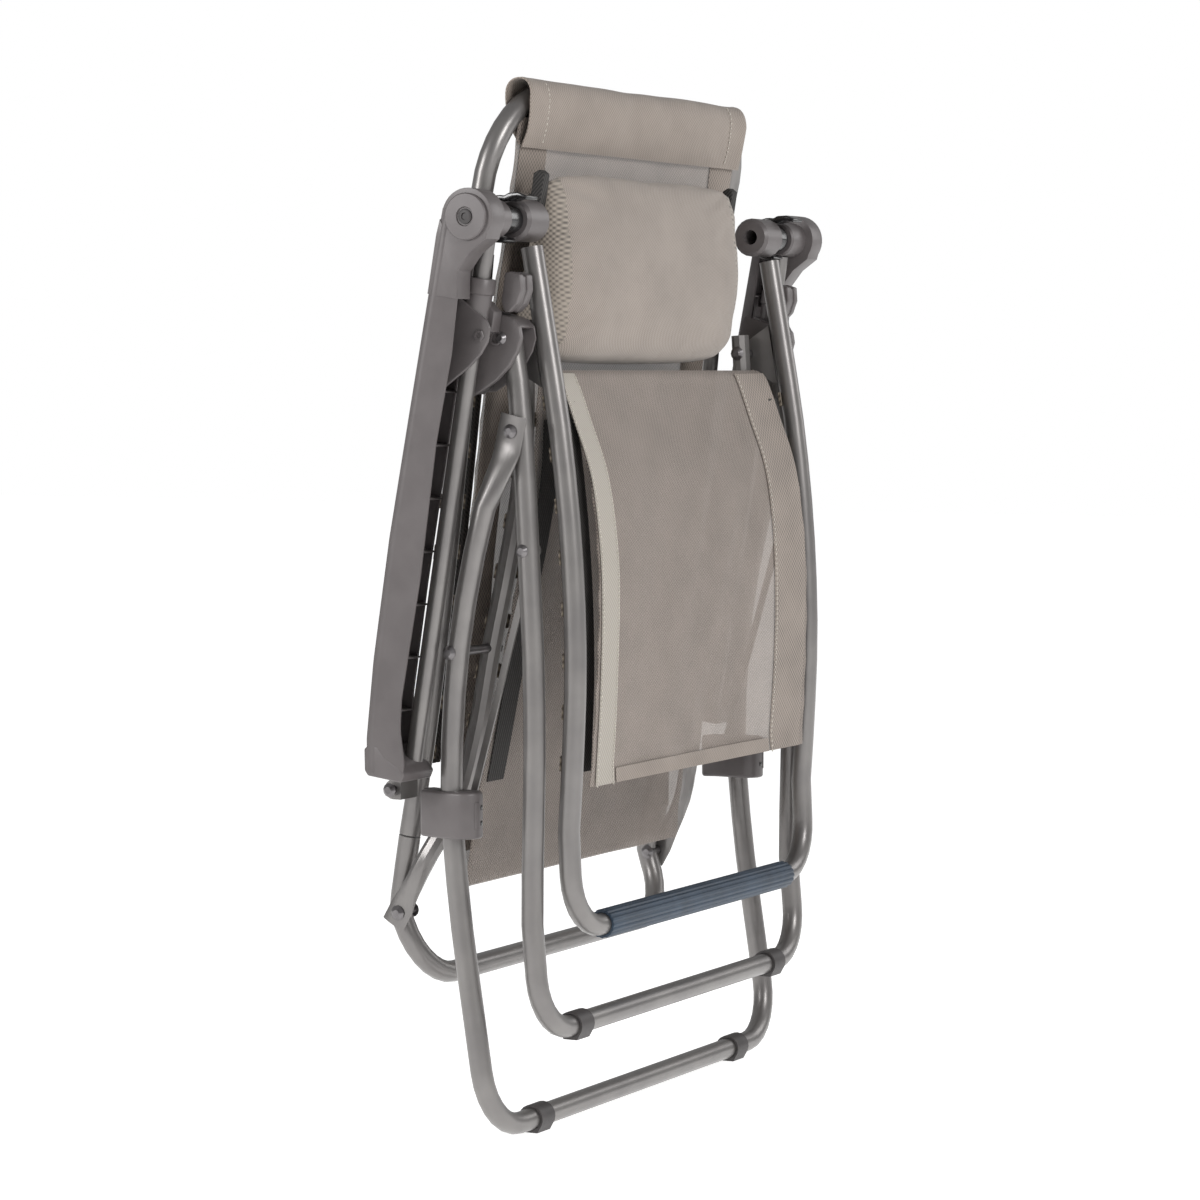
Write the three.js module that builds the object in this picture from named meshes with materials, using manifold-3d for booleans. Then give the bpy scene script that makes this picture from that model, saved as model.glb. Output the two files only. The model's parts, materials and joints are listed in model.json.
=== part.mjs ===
// Folding zero gravity recliner, standing folded. Millimetres, +Z up, front of the seat towards -Y.
// Side profiles are [y, z] points in the plane of one tube; `side` is -1 for the left, +1 for the right.
import * as THREE from 'three';
import { mergeVertices } from 'three/addons/utils/BufferGeometryUtils.js';
import Module from 'manifold-3d';

const wasm = await Module();
wasm.setup();

// ---- driving dimensions ----
const gap = 0.3;
const tubeRadius = 10;
const tubeSides = 20;
const railRadius = 9;
const slideTubeRadius = 8;
const rivetRadius = 4;
const holeClearance = 0.4;
const boltHole = rivetRadius + holeClearance;

// Half the distance between the two sides of each frame, centre line to centre line.
const frameHalf = 245;
const frontLegHalf = 268;
const rearLegHalf = 290;
const seatRailHalf = 224;
const slideTubeHalf = 301;
const fittingInner = frameHalf - 21;
const fittingRadius = 19;
const bracketHalfThickness = 3;
const slotHalf = tubeRadius + 0.4;

// Pivots, as [y, z].
const hipPivot = [233, 187];
const kneePivot = [122, 698];
const armPivot = [112, 814];
// The armrest and the line from hip to knee are the two long sides of a parallelogram.
const armRearPivot = [
  armPivot[0] + hipPivot[0] - kneePivot[0],
  armPivot[1] + hipPivot[1] - kneePivot[1],
];
const legPivot = [102, 627];
const seatPivot = [155, 430];
const lockPivot = [110, 709];
const stayPivot = [93, 521];
const stayLength = 240;
const stayTilt = THREE.MathUtils.degToRad(15.7);
const armTilt = THREE.MathUtils.degToRad(9.33);

// Crossbars, as [y, z].
const rearLegBar = [120, 0];
const frontLegBar = [79, 89];
const legrestBar = [59, 180];
const headBar = [128, 930];
const backLowerBar = [216, 125];

const armEarInner = 285;
const footHalf = 203;
const footWidth = 24;
const footDepth = 13;
const profileMiddle = 147.5;

// Armrest group: origin at the arm pivot, slide tube along -z, front towards -y.
const hubRadius = 16.5;
const axleRadius = 7;
const axleOuterX = 337;
const slideTubeTop = -17;
const slideTubeEnd = -491;
const sleeveTop = -53;
const sleeveEnd = -142;
const lockPivotLocal = [-19, -103.3];
const leverPivotLocal = [-22, -75];

const metal = { color: '#6f6c6c', roughness: 0.38, metalness: 0.75 };
const plastic = { color: '#5a5858', roughness: 0.55, metalness: 0.0 };
const darkPlastic = { color: '#3a3939', roughness: 0.6, metalness: 0.0 };
const steel = { color: '#8b898a', roughness: 0.3, metalness: 0.9 };
const mesh = { color: '#a79d93', roughness: 0.9, metalness: 0.0 };
const gripFoam = { color: '#33475a', roughness: 0.8, metalness: 0.0 };

const chair = new THREE.Group();
const folded = new THREE.Group();
folded.position.set(0, -profileMiddle, footDepth);
chair.add(folded);

// ---- helpers ----
function add(name, geometry, look, parent = folded) {
  const piece = new THREE.Mesh(geometry, new THREE.MeshStandardMaterial(look));
  piece.name = name;
  parent.add(piece);
  return piece;
}

function sideName(side) {
  return side < 0 ? 'left' : 'right';
}

// A route given point by point: the section is placed square to the bisector at each point.
class Route extends THREE.Curve {
  constructor(points) {
    super();
    this.points = points;
  }
  getPoint(t) {
    const last = this.points.length - 1;
    const index = Math.min(Math.floor(t * last), last - 1);
    return this.points[index].clone().lerp(this.points[index + 1], t * last - index);
  }
  getPointAt(u) {
    return this.getPoint(u);
  }
  getSpacedPoints() {
    return this.points.map((point) => point.clone());
  }
  getTangentAt(u) {
    const last = this.points.length - 1;
    const index = Math.round(u * last);
    const here = this.points[index];
    const tangent = new THREE.Vector3();
    if (index > 0) tangent.add(here.clone().sub(this.points[index - 1]).normalize());
    if (index < last) tangent.add(this.points[index + 1].clone().sub(here).normalize());
    return tangent.normalize();
  }
}

function roundSection(radius, sides) {
  const section = new THREE.Shape();
  for (let k = 0; k < sides; k += 1) {
    const angle = (2 * Math.PI * (k + 0.5)) / sides;
    const x = radius * Math.cos(angle);
    const y = radius * Math.sin(angle);
    if (k === 0) section.moveTo(x, y);
    else section.lineTo(x, y);
  }
  section.closePath();
  return section;
}

function tube(points, radius, sides = tubeSides) {
  const settings = { steps: points.length - 1, extrudePath: new Route(points) };
  return new THREE.ExtrudeGeometry(roundSection(radius, sides), settings);
}

// Evenly spaced points of a smooth curve through a few [x, y, z] points.
function smooth(points, steps) {
  return new THREE.CatmullRomCurve3(points.map((p) => new THREE.Vector3(...p)), false, 'centripetal')
    .getSpacedPoints(steps);
}

// One U-shaped frame: both sides follow the same [y, z] profile, which ends in a bend into the crossbar.
function frameRoute(profile, half, bar, bendRadius, sideSteps, bendSteps = 7) {
  const last = profile[profile.length - 1];
  const corner = new THREE.Vector3(-half, bar[0], bar[1]);
  const along = new THREE.Vector3(0, bar[0] - last[0], bar[1] - last[1]).normalize();
  const start = corner.clone().addScaledVector(along, -bendRadius);
  const left = smooth([...profile.map(([y, z]) => [-half, y, z]), start.toArray()], sideSteps);
  for (let k = 1; k <= bendSteps; k += 1) {
    const angle = (k / bendSteps) * (Math.PI / 2);
    const point = start.clone().addScaledVector(along, bendRadius * Math.sin(angle));
    point.x += bendRadius * (1 - Math.cos(angle));
    left.push(point);
  }
  const right = left.map((p) => new THREE.Vector3(-p.x, p.y, p.z)).reverse();
  return [...left, ...right];
}

// Adds points to the first and last stretch of a route, where an end is to be flattened.
function withFineEnds(route, extra = 4) {
  const fine = [];
  route.forEach((point, k) => {
    fine.push(point);
    if (k !== 0 && k !== route.length - 2) return;
    for (let n = 1; n < extra; n += 1) fine.push(point.clone().lerp(route[k + 1], n / extra));
  });
  return fine;
}

// Flattens a tube near one end of its route: thinner across x, wider in the side plane, moved to x = plate.
function flattenEnd(geometry, route, fromEnd, plateX, reach, thin = 0.2, wide = 1.35) {
  const position = geometry.attributes.position;
  const vertex = new THREE.Vector3();
  const end = fromEnd ? route[route.length - 1] : route[0];
  for (let k = 0; k < position.count; k += 1) {
    vertex.fromBufferAttribute(position, k);
    if (Math.sign(vertex.x) !== Math.sign(end.x)) continue;
    const near = route.reduce((a, b) => (a.distanceToSquared(vertex) < b.distanceToSquared(vertex) ? a : b));
    const amount = 1 - THREE.MathUtils.smoothstep(near.distanceTo(end), reach * 0.5, reach);
    const offset = vertex.clone().sub(near);
    offset.x *= THREE.MathUtils.lerp(1, thin, amount);
    offset.y *= THREE.MathUtils.lerp(1, wide, amount);
    offset.z *= THREE.MathUtils.lerp(1, wide, amount);
    const centreX = THREE.MathUtils.lerp(near.x, plateX, amount);
    position.setXYZ(k, centreX + offset.x, near.y + offset.y, near.z + offset.z);
  }
  return geometry;
}

function toSolid(geometry) {
  const bare = geometry.clone();
  bare.deleteAttribute('normal');
  bare.deleteAttribute('uv');
  const merged = mergeVertices(bare, 1e-4);
  const vertProperties = new Float32Array(merged.attributes.position.array);
  const triVerts = new Uint32Array(merged.index.array);
  return new wasm.Manifold(new wasm.Mesh({ numProp: 3, vertProperties, triVerts }));
}

function toGeometry(solid) {
  const result = solid.getMesh();
  const geometry = new THREE.BufferGeometry();
  geometry.setAttribute('position', new THREE.BufferAttribute(new Float32Array(result.vertProperties), 3));
  geometry.setIndex(new THREE.BufferAttribute(new Uint32Array(result.triVerts), 1));
  return geometry;
}

// A cylinder along x between two x values, centred on a [y, z] point.
function crossPin(radius, x0, x1, [y, z], sides = 12) {
  return new THREE.CylinderGeometry(radius, radius, Math.abs(x1 - x0), sides)
    .rotateZ(Math.PI / 2)
    .translate((x0 + x1) / 2, y, z);
}

// Drills holes along x, each { at: [y, z], radius, from, to }.
function drill(geometry, holes) {
  let solid = toSolid(geometry);
  for (const hole of holes) {
    solid = solid.subtract(toSolid(crossPin(hole.radius, hole.from, hole.to, hole.at)));
  }
  return toGeometry(solid);
}

// A turned piece along x: profile points are [x, radius], starting and ending on the axis.
function turned(profile, [y, z], sides = 12) {
  const outline = profile.map(([x, radius]) => new THREE.Vector2(radius, x));
  return new THREE.LatheGeometry(outline, sides).rotateZ(-Math.PI / 2).translate(0, y, z);
}

// A rivet along x with a domed head at each end; outer is the head further from the middle.
function rivet(side, innerX, outerX, at, headRadius = 6.5, shankRadius = rivetRadius) {
  const dome = 3;
  const profile = [
    [innerX - dome, 0],
    [innerX - dome, headRadius * 0.45],
    [innerX, headRadius],
    [innerX + 0.01, shankRadius],
    [outerX - 0.01, shankRadius],
    [outerX, headRadius],
    [outerX + dome, headRadius * 0.45],
    [outerX + dome, 0],
  ];
  const geometry = turned(profile, at);
  return side < 0 ? mirrored(geometry) : geometry;
}

// Mirrors a geometry in x = 0 and turns its faces back outwards.
function mirrored(geometry) {
  const flipped = geometry.index ? geometry.toNonIndexed() : geometry.clone();
  flipped.scale(-1, 1, 1);
  const position = flipped.attributes.position;
  const a = new THREE.Vector3();
  const b = new THREE.Vector3();
  for (let k = 0; k < position.count; k += 3) {
    a.fromBufferAttribute(position, k);
    b.fromBufferAttribute(position, k + 1);
    position.setXYZ(k, b.x, b.y, b.z);
    position.setXYZ(k + 1, a.x, a.y, a.z);
  }
  return flipped;
}

// A headed pin along x: the shank from innerX to outerX, the domed head outside it.
function headedPin(side, innerX, outerX, at, headRadius = 6.5, shankRadius = rivetRadius) {
  const profile = [
    [innerX, 0],
    [innerX, shankRadius],
    [outerX, shankRadius],
    [outerX + 0.01, headRadius],
    [outerX + 3, headRadius * 0.5],
    [outerX + 3, 0],
  ];
  return onSide(side, turned(profile, at));
}

function onSide(side, geometry) {
  return side < 0 ? mirrored(geometry) : geometry;
}

// A plate or block: a [y, z] outline given a thickness along x, from x0 to x1 (both positive).
function plate(outline, x0, x1) {
  const shape = new THREE.Shape(outline.map(([y, z]) => new THREE.Vector2(y, z)));
  return new THREE.ExtrudeGeometry(shape, { depth: x1 - x0, bevelEnabled: false })
    .applyMatrix4(new THREE.Matrix4().set(0, 0, 1, x0, 1, 0, 0, 0, 0, 1, 0, 0, 0, 0, 0, 1));
}

function arcPoints([cy, cz], radius, fromDeg, toDeg, steps) {
  const points = [];
  for (let k = 0; k <= steps; k += 1) {
    const angle = THREE.MathUtils.degToRad(fromDeg + ((toDeg - fromDeg) * k) / steps);
    points.push([cy + radius * Math.cos(angle), cz + radius * Math.sin(angle)]);
  }
  return points;
}

// A sheet of fabric: a [y, z] centre line with a thickness, spanning x from -half to half.
function fabricPanel(line, half, thickness) {
  const points = smooth(line.map(([y, z]) => [0, y, z]), 14);
  const route = new Route(points);
  const front = [];
  const back = [];
  points.forEach((point, k) => {
    const tangent = route.getTangentAt(k / (points.length - 1));
    front.push([point.y - (tangent.z * thickness) / 2, point.z + (tangent.y * thickness) / 2]);
    back.push([point.y + (tangent.z * thickness) / 2, point.z - (tangent.y * thickness) / 2]);
  });
  return plate([...front, ...back.reverse()], -half, half);
}

// ---- rear leg frame: the outer U, riveted to the front legs near the top ----
function rearLegFrame() {
  const profile = [
    [99, 641], [104, 612], [122, 566], [147, 459], [157, 369], [158, 285], [149, 190], [137, 110],
  ];
  const route = withFineEnds(frameRoute(profile, rearLegHalf, rearLegBar, 55, 14));
  const geometry = tube(route, tubeRadius);
  const plateX = frontLegHalf + tubeRadius + 3;
  flattenEnd(geometry, route, false, -plateX, 62);
  flattenEnd(geometry, route, true, plateX, 62);
  const outside = rearLegHalf + tubeRadius + 5;
  const holes = [];
  for (const side of [-1, 1]) {
    for (const at of [legPivot, seatPivot]) {
      holes.push({ at, radius: boltHole, from: side * (frontLegHalf + 5), to: side * outside });
    }
  }
  add('rear_leg_tube', drill(geometry, holes), metal);
  for (const side of [-1, 1]) {
    const name = sideName(side);
    add(`rear_leg_foot_${name}`, clipFoot(side, rearLegBar), darkPlastic);
    const inner = frontLegHalf - tubeRadius - gap;
    add(`leg_rivet_${name}`, rivet(side, inner, plateX + 2.4 + gap, legPivot), steel);
    const seatInner = seatRailHalf - railRadius - gap;
    add(`seat_pivot_bolt_${name}`, rivet(side, seatInner, rearLegHalf + tubeRadius + gap, seatPivot), steel);
    add(`storage_clip_${name}`, storageClip(side, route), plastic);
  }
}

// A plastic foot clipped round a crossbar, with a flat sole.
function clipFoot(side, [y, z]) {
  const wall = 2.6;
  const outer = tubeRadius + wall;
  const outline = [
    ...arcPoints([y, z], outer, -40, 220, 14),
    [y - 7, z - footDepth],
    [y + 7, z - footDepth],
  ];
  const ring = toSolid(plate(outline, footHalf - footWidth / 2, footHalf + footWidth / 2));
  const from = footHalf - footWidth;
  const to = footHalf + footWidth;
  const bore = toSolid(crossPin(tubeRadius + gap, from, to, [y, z], tubeSides * 2));
  return onSide(side, toGeometry(ring.subtract(bore)));
}

// A band round the rear leg with a wing that lies against the seat rail and holds the fold shut.
function storageClip(side, legRoute) {
  const low = 264;
  const high = 306;
  const legY = 158.5;
  const ring = tubeRadius + 4.5;
  const band = new THREE.Shape();
  band.moveTo(rearLegHalf + ring, legY + 2);
  for (let k = 0; k <= 8; k += 1) {
    const angle = -(k / 8) * Math.PI;
    band.lineTo(rearLegHalf + ring * Math.cos(angle), legY - 14 + ring * Math.sin(angle));
  }
  band.lineTo(rearLegHalf - ring, legY + 18);
  band.lineTo(rearLegHalf - ring - 6, legY + 30);
  band.lineTo(rearLegHalf - 8, legY + 36);
  band.lineTo(rearLegHalf + 6, legY + 30);
  const extrusion = new THREE.ExtrudeGeometry(band, { depth: high - low, bevelEnabled: false });
  const block = extrusion.translate(0, 0, low);
  const through = legRoute
    .filter((point) => point.x < 0 && point.z > low - 60 && point.z < high + 60)
    .map((point) => new THREE.Vector3(-point.x, point.y, point.z));
  const hole = toSolid(tube(through, tubeRadius + 1, 16));
  return onSide(side, toGeometry(toSolid(block).subtract(hole)));
}

// ---- front leg frame: the inner U, its top ends held in the lock housings ----
function frontLegFrame() {
  const profile = [
    [111, 719], [107, 700], [101, 655], [96, 590], [91, 500], [87, 420], [86, 330], [88, 240], [88, 175],
  ];
  const route = frameRoute(profile, frontLegHalf, frontLegBar, 50, 12);
  const holes = [];
  for (const side of [-1, 1]) {
    for (const at of [legPivot, stayPivot, lockPivot]) {
      const radius = boltHole;
      holes.push({ at, radius, from: side * (frontLegHalf - 15), to: side * (frontLegHalf + 15) });
    }
  }
  add('front_leg_tube', drill(tube(route, tubeRadius), holes), metal);
  for (const side of [-1, 1]) {
    const name = sideName(side);
    add(`front_leg_foot_${name}`, clipFoot(side, frontLegBar), darkPlastic);
  }
}

// ---- leg stays: flat bars pivoted on the front legs, sliding along the rear legs as the legs spread ----
function legStays() {
  const outer = frontLegHalf - tubeRadius - gap;
  const inner = outer - 2.4;
  const direction = [Math.sin(stayTilt), -Math.cos(stayTilt)];
  const far = [stayPivot[0] + stayLength * direction[0], stayPivot[1] + stayLength * direction[1]];
  const tiltDeg = THREE.MathUtils.radToDeg(stayTilt);
  const eyeRadius = 7;
  const barHalf = 3.2;
  const neckDeg = THREE.MathUtils.radToDeg(Math.asin(barHalf / eyeRadius));
  const outline = [
    ...arcPoints(stayPivot, eyeRadius, tiltDeg - 90 + neckDeg, tiltDeg + 270 - neckDeg, 14),
    ...arcPoints(far, barHalf, tiltDeg + 180, tiltDeg + 360, 6),
  ];
  for (const side of [-1, 1]) {
    const name = sideName(side);
    const bar = onSide(side, plate(outline, inner, outer));
    const from = side * (inner - 5);
    const to = side * (outer + 5);
    const hole = { at: stayPivot, radius: boltHole, from, to };
    add(`leg_stay_${name}`, drill(bar, [hole]), metal);
    const outerFace = frontLegHalf + tubeRadius + gap;
    add(`leg_stay_rivet_${name}`, headedPin(side, inner, outerFace, stayPivot, 6), steel);
  }
}

// ---- seat frame: two rails, joggled outwards at the hip and bolted to the back frame and knee brackets ----
function seatFrame() {
  const hipPlateX = frameHalf + tubeRadius + 4;
  for (const side of [-1, 1]) {
    const name = sideName(side);
    const route = smooth([
      [side * seatRailHalf, 123, 716],
      [side * seatRailHalf, 120, 660],
      [side * seatRailHalf, 124, 580],
      [side * seatRailHalf, 137, 510],
      [side * seatRailHalf, seatPivot[0], seatPivot[1]],
      [side * seatRailHalf, 171, 350],
      [side * (seatRailHalf + 10), 184, 290],
      [side * (hipPlateX - 3), 205, 238],
      [side * hipPlateX, 228, 195],
      [side * hipPlateX, 239, 176],
    ], 30);
    const rail = flattenEnd(tube(route, railRadius, 10), route, true, side * hipPlateX, 46);
    const holes = [
      { at: kneePivot, radius: boltHole, from: side * 205, to: side * 240 },
      { at: seatPivot, radius: boltHole, from: side * 205, to: side * 240 },
      { at: hipPivot, radius: boltHole, from: side * 240, to: side * 275 },
    ];
    add(`seat_rail_${name}`, drill(rail, holes), metal);
    const hipInner = frameHalf - tubeRadius - gap;
    const hipOuter = hipPlateX + 2.2 + gap;
    add(`hip_bolt_${name}`, rivet(side, hipInner, hipOuter, hipPivot, 7), steel);
    const kneeInner = seatRailHalf - railRadius - gap;
    const kneeOuter = frameHalf + bracketHalfThickness + gap;
    add(`knee_bolt_${name}`, rivet(side, kneeInner, kneeOuter, kneePivot, 7), steel);
  }
  const line = [[113, 664], [119, 600], [132, 520], [151, 430], [168, 340], [182, 270], [188, 232]];
  add('sling_seat', fabricPanel(line, 205, 3), mesh);
}

// ---- back frame: a closed loop made of an upper and a lower U, joined just above the hip ----
function backFrame() {
  const upper = [[229, 258], [218, 317], [207, 385], [189, 520], [169, 690], [154, 838]];
  const upperRoute = frameRoute(upper, frameHalf, headBar, 75, 14, 8);
  add('back_tube', tube(upperRoute, tubeRadius), metal);
  const lower = [[229.3, 256.5], [236, 215], [239.5, 186]];
  const lowerRoute = frameRoute(lower, frameHalf, backLowerBar, 55, 6);
  const holes = [-1, 1].map((side) => (
    { at: hipPivot, radius: boltHole, from: side * 230, to: side * 260 }
  ));
  add('back_base_tube', drill(tube(lowerRoute, tubeRadius), holes), metal);
  for (const side of [-1, 1]) {
    add(`arm_link_bracket_${sideName(side)}`, armLinkBracket(side), metal);
  }
  const line = [
    [113, 944], [113, 925], [124, 885], [139, 830], [156, 740], [170, 630],
    [184, 520], [194, 420], [199, 330], [200, 262], [197, 215],
  ];
  add('sling_back', fabricPanel(line, 222, 3), mesh);
}

// A lug that reaches out from the back tube to the rear end of the armrest.
function armLinkBracket(side) {
  const tubeFace = frameHalf + tubeRadius + gap;
  const outer = armEarInner - gap;
  const [y, z] = armRearPivot;
  const outline = [...arcPoints([y, z], 9, -90, 90, 8), [y - 8, z + 9], [y - 8, z - 9]];
  const hole = { at: [y, z], radius: boltHole, from: tubeFace + 14, to: outer + 5 };
  return onSide(side, drill(plate(outline, tubeFace, outer), [hole]));
}

// ---- headrest pillow, slung on the back by an elastic strap ----
function headrestPillow() {
  const outline = [
    ...arcPoints([102, 824], 31, 30, 150, 6),
    ...arcPoints([108, 737], 38, 180, 290, 6),
    [138, 718],
    [143, 770],
    [136, 812],
  ];
  const shape = new THREE.Shape(outline.map(([y, z]) => new THREE.Vector2(y, z)));
  const bevel = 10;
  const half = 208;
  const settings = {
    depth: 2 * (half - bevel),
    bevelEnabled: true,
    bevelThickness: bevel,
    bevelSize: bevel,
    bevelOffset: -bevel,
    bevelSegments: 3,
  };
  const turn = new THREE.Matrix4().set(0, 0, 1, bevel - half, 1, 0, 0, 0, 0, 1, 0, 0, 0, 0, 0, 1);
  add('headrest_pillow', new THREE.ExtrudeGeometry(shape, settings).applyMatrix4(turn), mesh);
}

// ---- legrest frame ----
function legrestFrame() {
  const profile = [[101, 790], [88, 717], [72, 622], [61, 520], [57, 420], [60, 330], [64, 262]];
  const route = frameRoute(profile, frameHalf, legrestBar, 50, 14);
  add('legrest_tube', tube(route, tubeRadius), metal);
  const gripHalf = 192;
  const gripSection = [...arcPoints(legrestBar, 13, 0, 342, 19)];
  const sleeve = toSolid(plate(gripSection, -gripHalf, gripHalf));
  const bore = toSolid(crossPin(tubeRadius + gap, -gripHalf - 5, gripHalf + 5, legrestBar, 24));
  add('foot_grip', toGeometry(sleeve.subtract(bore)), gripFoam);
  for (const side of [-1, 1]) {
    const name = sideName(side);
    add(`knee_bracket_${name}`, kneeBracket(side), metal);
    add(`arm_fitting_${name}`, armFitting(side, route), plastic);
  }
  const line = [[92, 671], [76, 636], [58, 585], [49, 520], [47, 460], [49, 390], [52, 335], [54, 308]];
  add('sling_legrest', fabricPanel(line, 225, 3), mesh);
}

// A plate behind the legrest tube that carries the knee bolt.
function kneeBracket(side) {
  const [y, z] = kneePivot;
  const outline = [
    ...arcPoints([y, z], 12, -70, 70, 8),
    [100.6, 726],
    [94.4, 690],
    [90.3, 666],
  ];
  const shell = plate(outline, frameHalf - bracketHalfThickness, frameHalf + bracketHalfThickness);
  const hole = { at: kneePivot, radius: boltHole, from: 235, to: 255 };
  return onSide(side, drill(shell, [hole]));
}

// The round end fitting that takes the top of the legrest tube and turns on the arm axle.
function armFitting(side, route) {
  const inner = fittingInner;
  const outer = frameHalf + 17;
  const chamfer = 3;
  const profile = [
    [inner, 0],
    [inner, fittingRadius - chamfer],
    [inner + chamfer, fittingRadius],
    [outer - chamfer, fittingRadius],
    [outer, fittingRadius - chamfer],
    [outer, 0],
  ];
  const barrel = toSolid(turned(profile, armPivot, 20));
  const tubeEnd = route.filter((p) => p.x < 0 && p.z > 700).map((p) => new THREE.Vector3(-p.x, p.y, p.z));
  const socket = toSolid(tube(tubeEnd.length > 1 ? tubeEnd : route.slice(0, 3), tubeRadius + gap, 16));
  const axleHole = toSolid(crossPin(axleRadius + holeClearance, inner - 5, outer + 5, armPivot, 16));
  return onSide(side, toGeometry(barrel.subtract(socket).subtract(axleHole)));
}

// ---- armrests: everything here lies in a group turned so that the slide tube runs straight down ----
function armGroup() {
  const group = new THREE.Group();
  group.position.set(0, armPivot[0], armPivot[1]);
  group.rotation.x = armTilt;
  folded.add(group);
  return group;
}


function armAxle(side) {
  const inner = fittingInner - gap;
  const profile = [
    [inner - 4, 0],
    [inner - 4, 6],
    [inner, 10],
    [inner + 0.01, axleRadius],
    [axleOuterX, axleRadius],
    [axleOuterX, 0],
  ];
  add(`arm_axle_${sideName(side)}`, onSide(side, turned(profile, armPivot, 16)), darkPlastic);
}

// The armrest: a shallow channel along the back of the slide tube, with a round head on the arm axle.
function armrest(side, group) {
  const inner = 288;
  const outer = 342;
  const wall = 3;
  const back = [[27, -8], [29, -60], [32, -170], [35, -290], [34, -400], [30, -470], [25, -502]];
  const rim = [
    [-13, -502], [-13, -496], [8, -478], [17, -430], [18, -330], [17, -200], [16, -100], [18, -12],
  ];
  const channel = toSolid(plate([...back, ...rim], inner, outer));
  const cavityBack = back.map(([y, z], k) => [y - wall - 0.5, k === 0 ? z - wall : Math.max(z, -492.5)]);
  const outerRim = [
    [-13, -502], [-13, -485], [-4, -456], [-1, -429], [-3, -320], [0, -200], [-3, -120], [6, -24],
  ];
  const outerWall = toSolid(plate([...back, ...outerRim], outer - wall, outer));
  const cavity = toSolid(plate([...cavityBack, [-20, -492.5], [-20, -11]], inner + wall, outer - wall));
  const head = toSolid(plate(arcPoints([0, 0], 25, 0, 342, 19), 316, outer - 1));
  const neckOutline = [[5, 18], [20, 10], [27, -10], [29, -60], [22, -62], [12, -22]];
  const neck = toSolid(plate(neckOutline, 330, outer - 1));
  const hub = toSolid(plate(arcPoints([0, 0], hubRadius, 0, 340, 17), 290, 320));
  const axleHole = toSolid(crossPin(axleRadius + holeClearance, 280, 350, [0, 0], 16));
  const [linkY, linkZ] = armRearLocal();
  const earOutline = [[8, -478], [28, -478], ...arcPoints([linkY, linkZ], 10, 10, -190, 10)];
  const ear = toSolid(plate(earOutline, armEarInner, inner + wall));
  const linkHole = toSolid(crossPin(boltHole, 280, 296, [linkY, linkZ], 12));
  const solid = channel.subtract(cavity).add(outerWall).add(head).add(neck).add(hub).add(ear);
  const shell = solid.subtract(axleHole).subtract(linkHole);
  add(`armrest_${sideName(side)}`, onSide(side, toGeometry(shell)), plastic, group);
}

// The armrest's rear pivot in the arm group's own frame.
function armRearLocal() {
  const y = armRearPivot[0] - armPivot[0];
  const z = armRearPivot[1] - armPivot[1];
  return [y * Math.cos(armTilt) + z * Math.sin(armTilt), z * Math.cos(armTilt) - y * Math.sin(armTilt)];
}

function armrestFittings(side, group) {
  const name = sideName(side);
  const x = side * slideTubeHalf;
  const top = new THREE.Vector3(x, 0, slideTubeTop);
  const end = new THREE.Vector3(x, 0, slideTubeEnd);
  add(`arm_slide_tube_${name}`, tube([top, end], slideTubeRadius, 12), metal, group);
  const discProfile = [[341 + gap, 0], [341 + gap, 20.5], [344.5, 20.5], [346, 19], [346, 0]];
  const disc = toSolid(turned(discProfile, [0, 0], 24));
  const recess = toSolid(crossPin(7, 343, 350, [0, 0], 16));
  add(`armrest_disc_${name}`, onSide(side, toGeometry(disc.subtract(recess))), plastic, group);
  const screw = toSolid(crossPin(6.4, 343 + gap, 345.5, [0, 0], 16));
  const socket = toSolid(crossPin(2.6, 344, 350, [0, 0], 6));
  add(`armrest_screw_${name}`, onSide(side, toGeometry(screw.subtract(socket))), steel, group);
  add(`arm_link_bolt_${name}`, headedPin(side, 272, 291 + gap, armRearLocal()), steel, group);
}

// ---- recline locks: a sleeve and lever on each slide tube, and a forked housing on each front leg ----
function lockSleeve(side, group) {
  const bore = slideTubeRadius + gap;
  const profile = [
    [bore, sleeveTop],
    [13.2, sleeveTop],
    [13.2, sleeveTop - 12],
    [12, sleeveTop - 14],
    [12, sleeveEnd],
    [bore, sleeveEnd],
    [bore, sleeveTop],
  ];
  const ring = new THREE.LatheGeometry(profile.map(([r, z]) => new THREE.Vector2(r, z)).reverse(), 20)
    .rotateX(Math.PI / 2)
    .translate(slideTubeHalf, 0, 0);
  const ear = toSolid(plate([[-11, -60], [-18, -64], [-18, -76], [-11, -80]], 289, 296));
  const whole = toSolid(ring).add(ear);
  const tubeSpace = new THREE.CylinderGeometry(bore, bore, 200, 20)
    .rotateX(Math.PI / 2)
    .translate(slideTubeHalf, 0, -100);
  const sleeve = onSide(side, toGeometry(whole.subtract(toSolid(tubeSpace))));
  add(`lock_sleeve_${sideName(side)}`, sleeve, plastic, group);
}

function lockLever(side, group) {
  const outline = [
    [-14, -46], [-20, -44], [-30, -46], [-32, -60], [-29, -72],
    ...arcPoints(leverPivotLocal, 4.5, 200, 340, 5),
    [-15, -72],
  ];
  add(`lock_lever_${sideName(side)}`, onSide(side, plate(outline, 264, 287)), darkPlastic, group);
}

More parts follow.
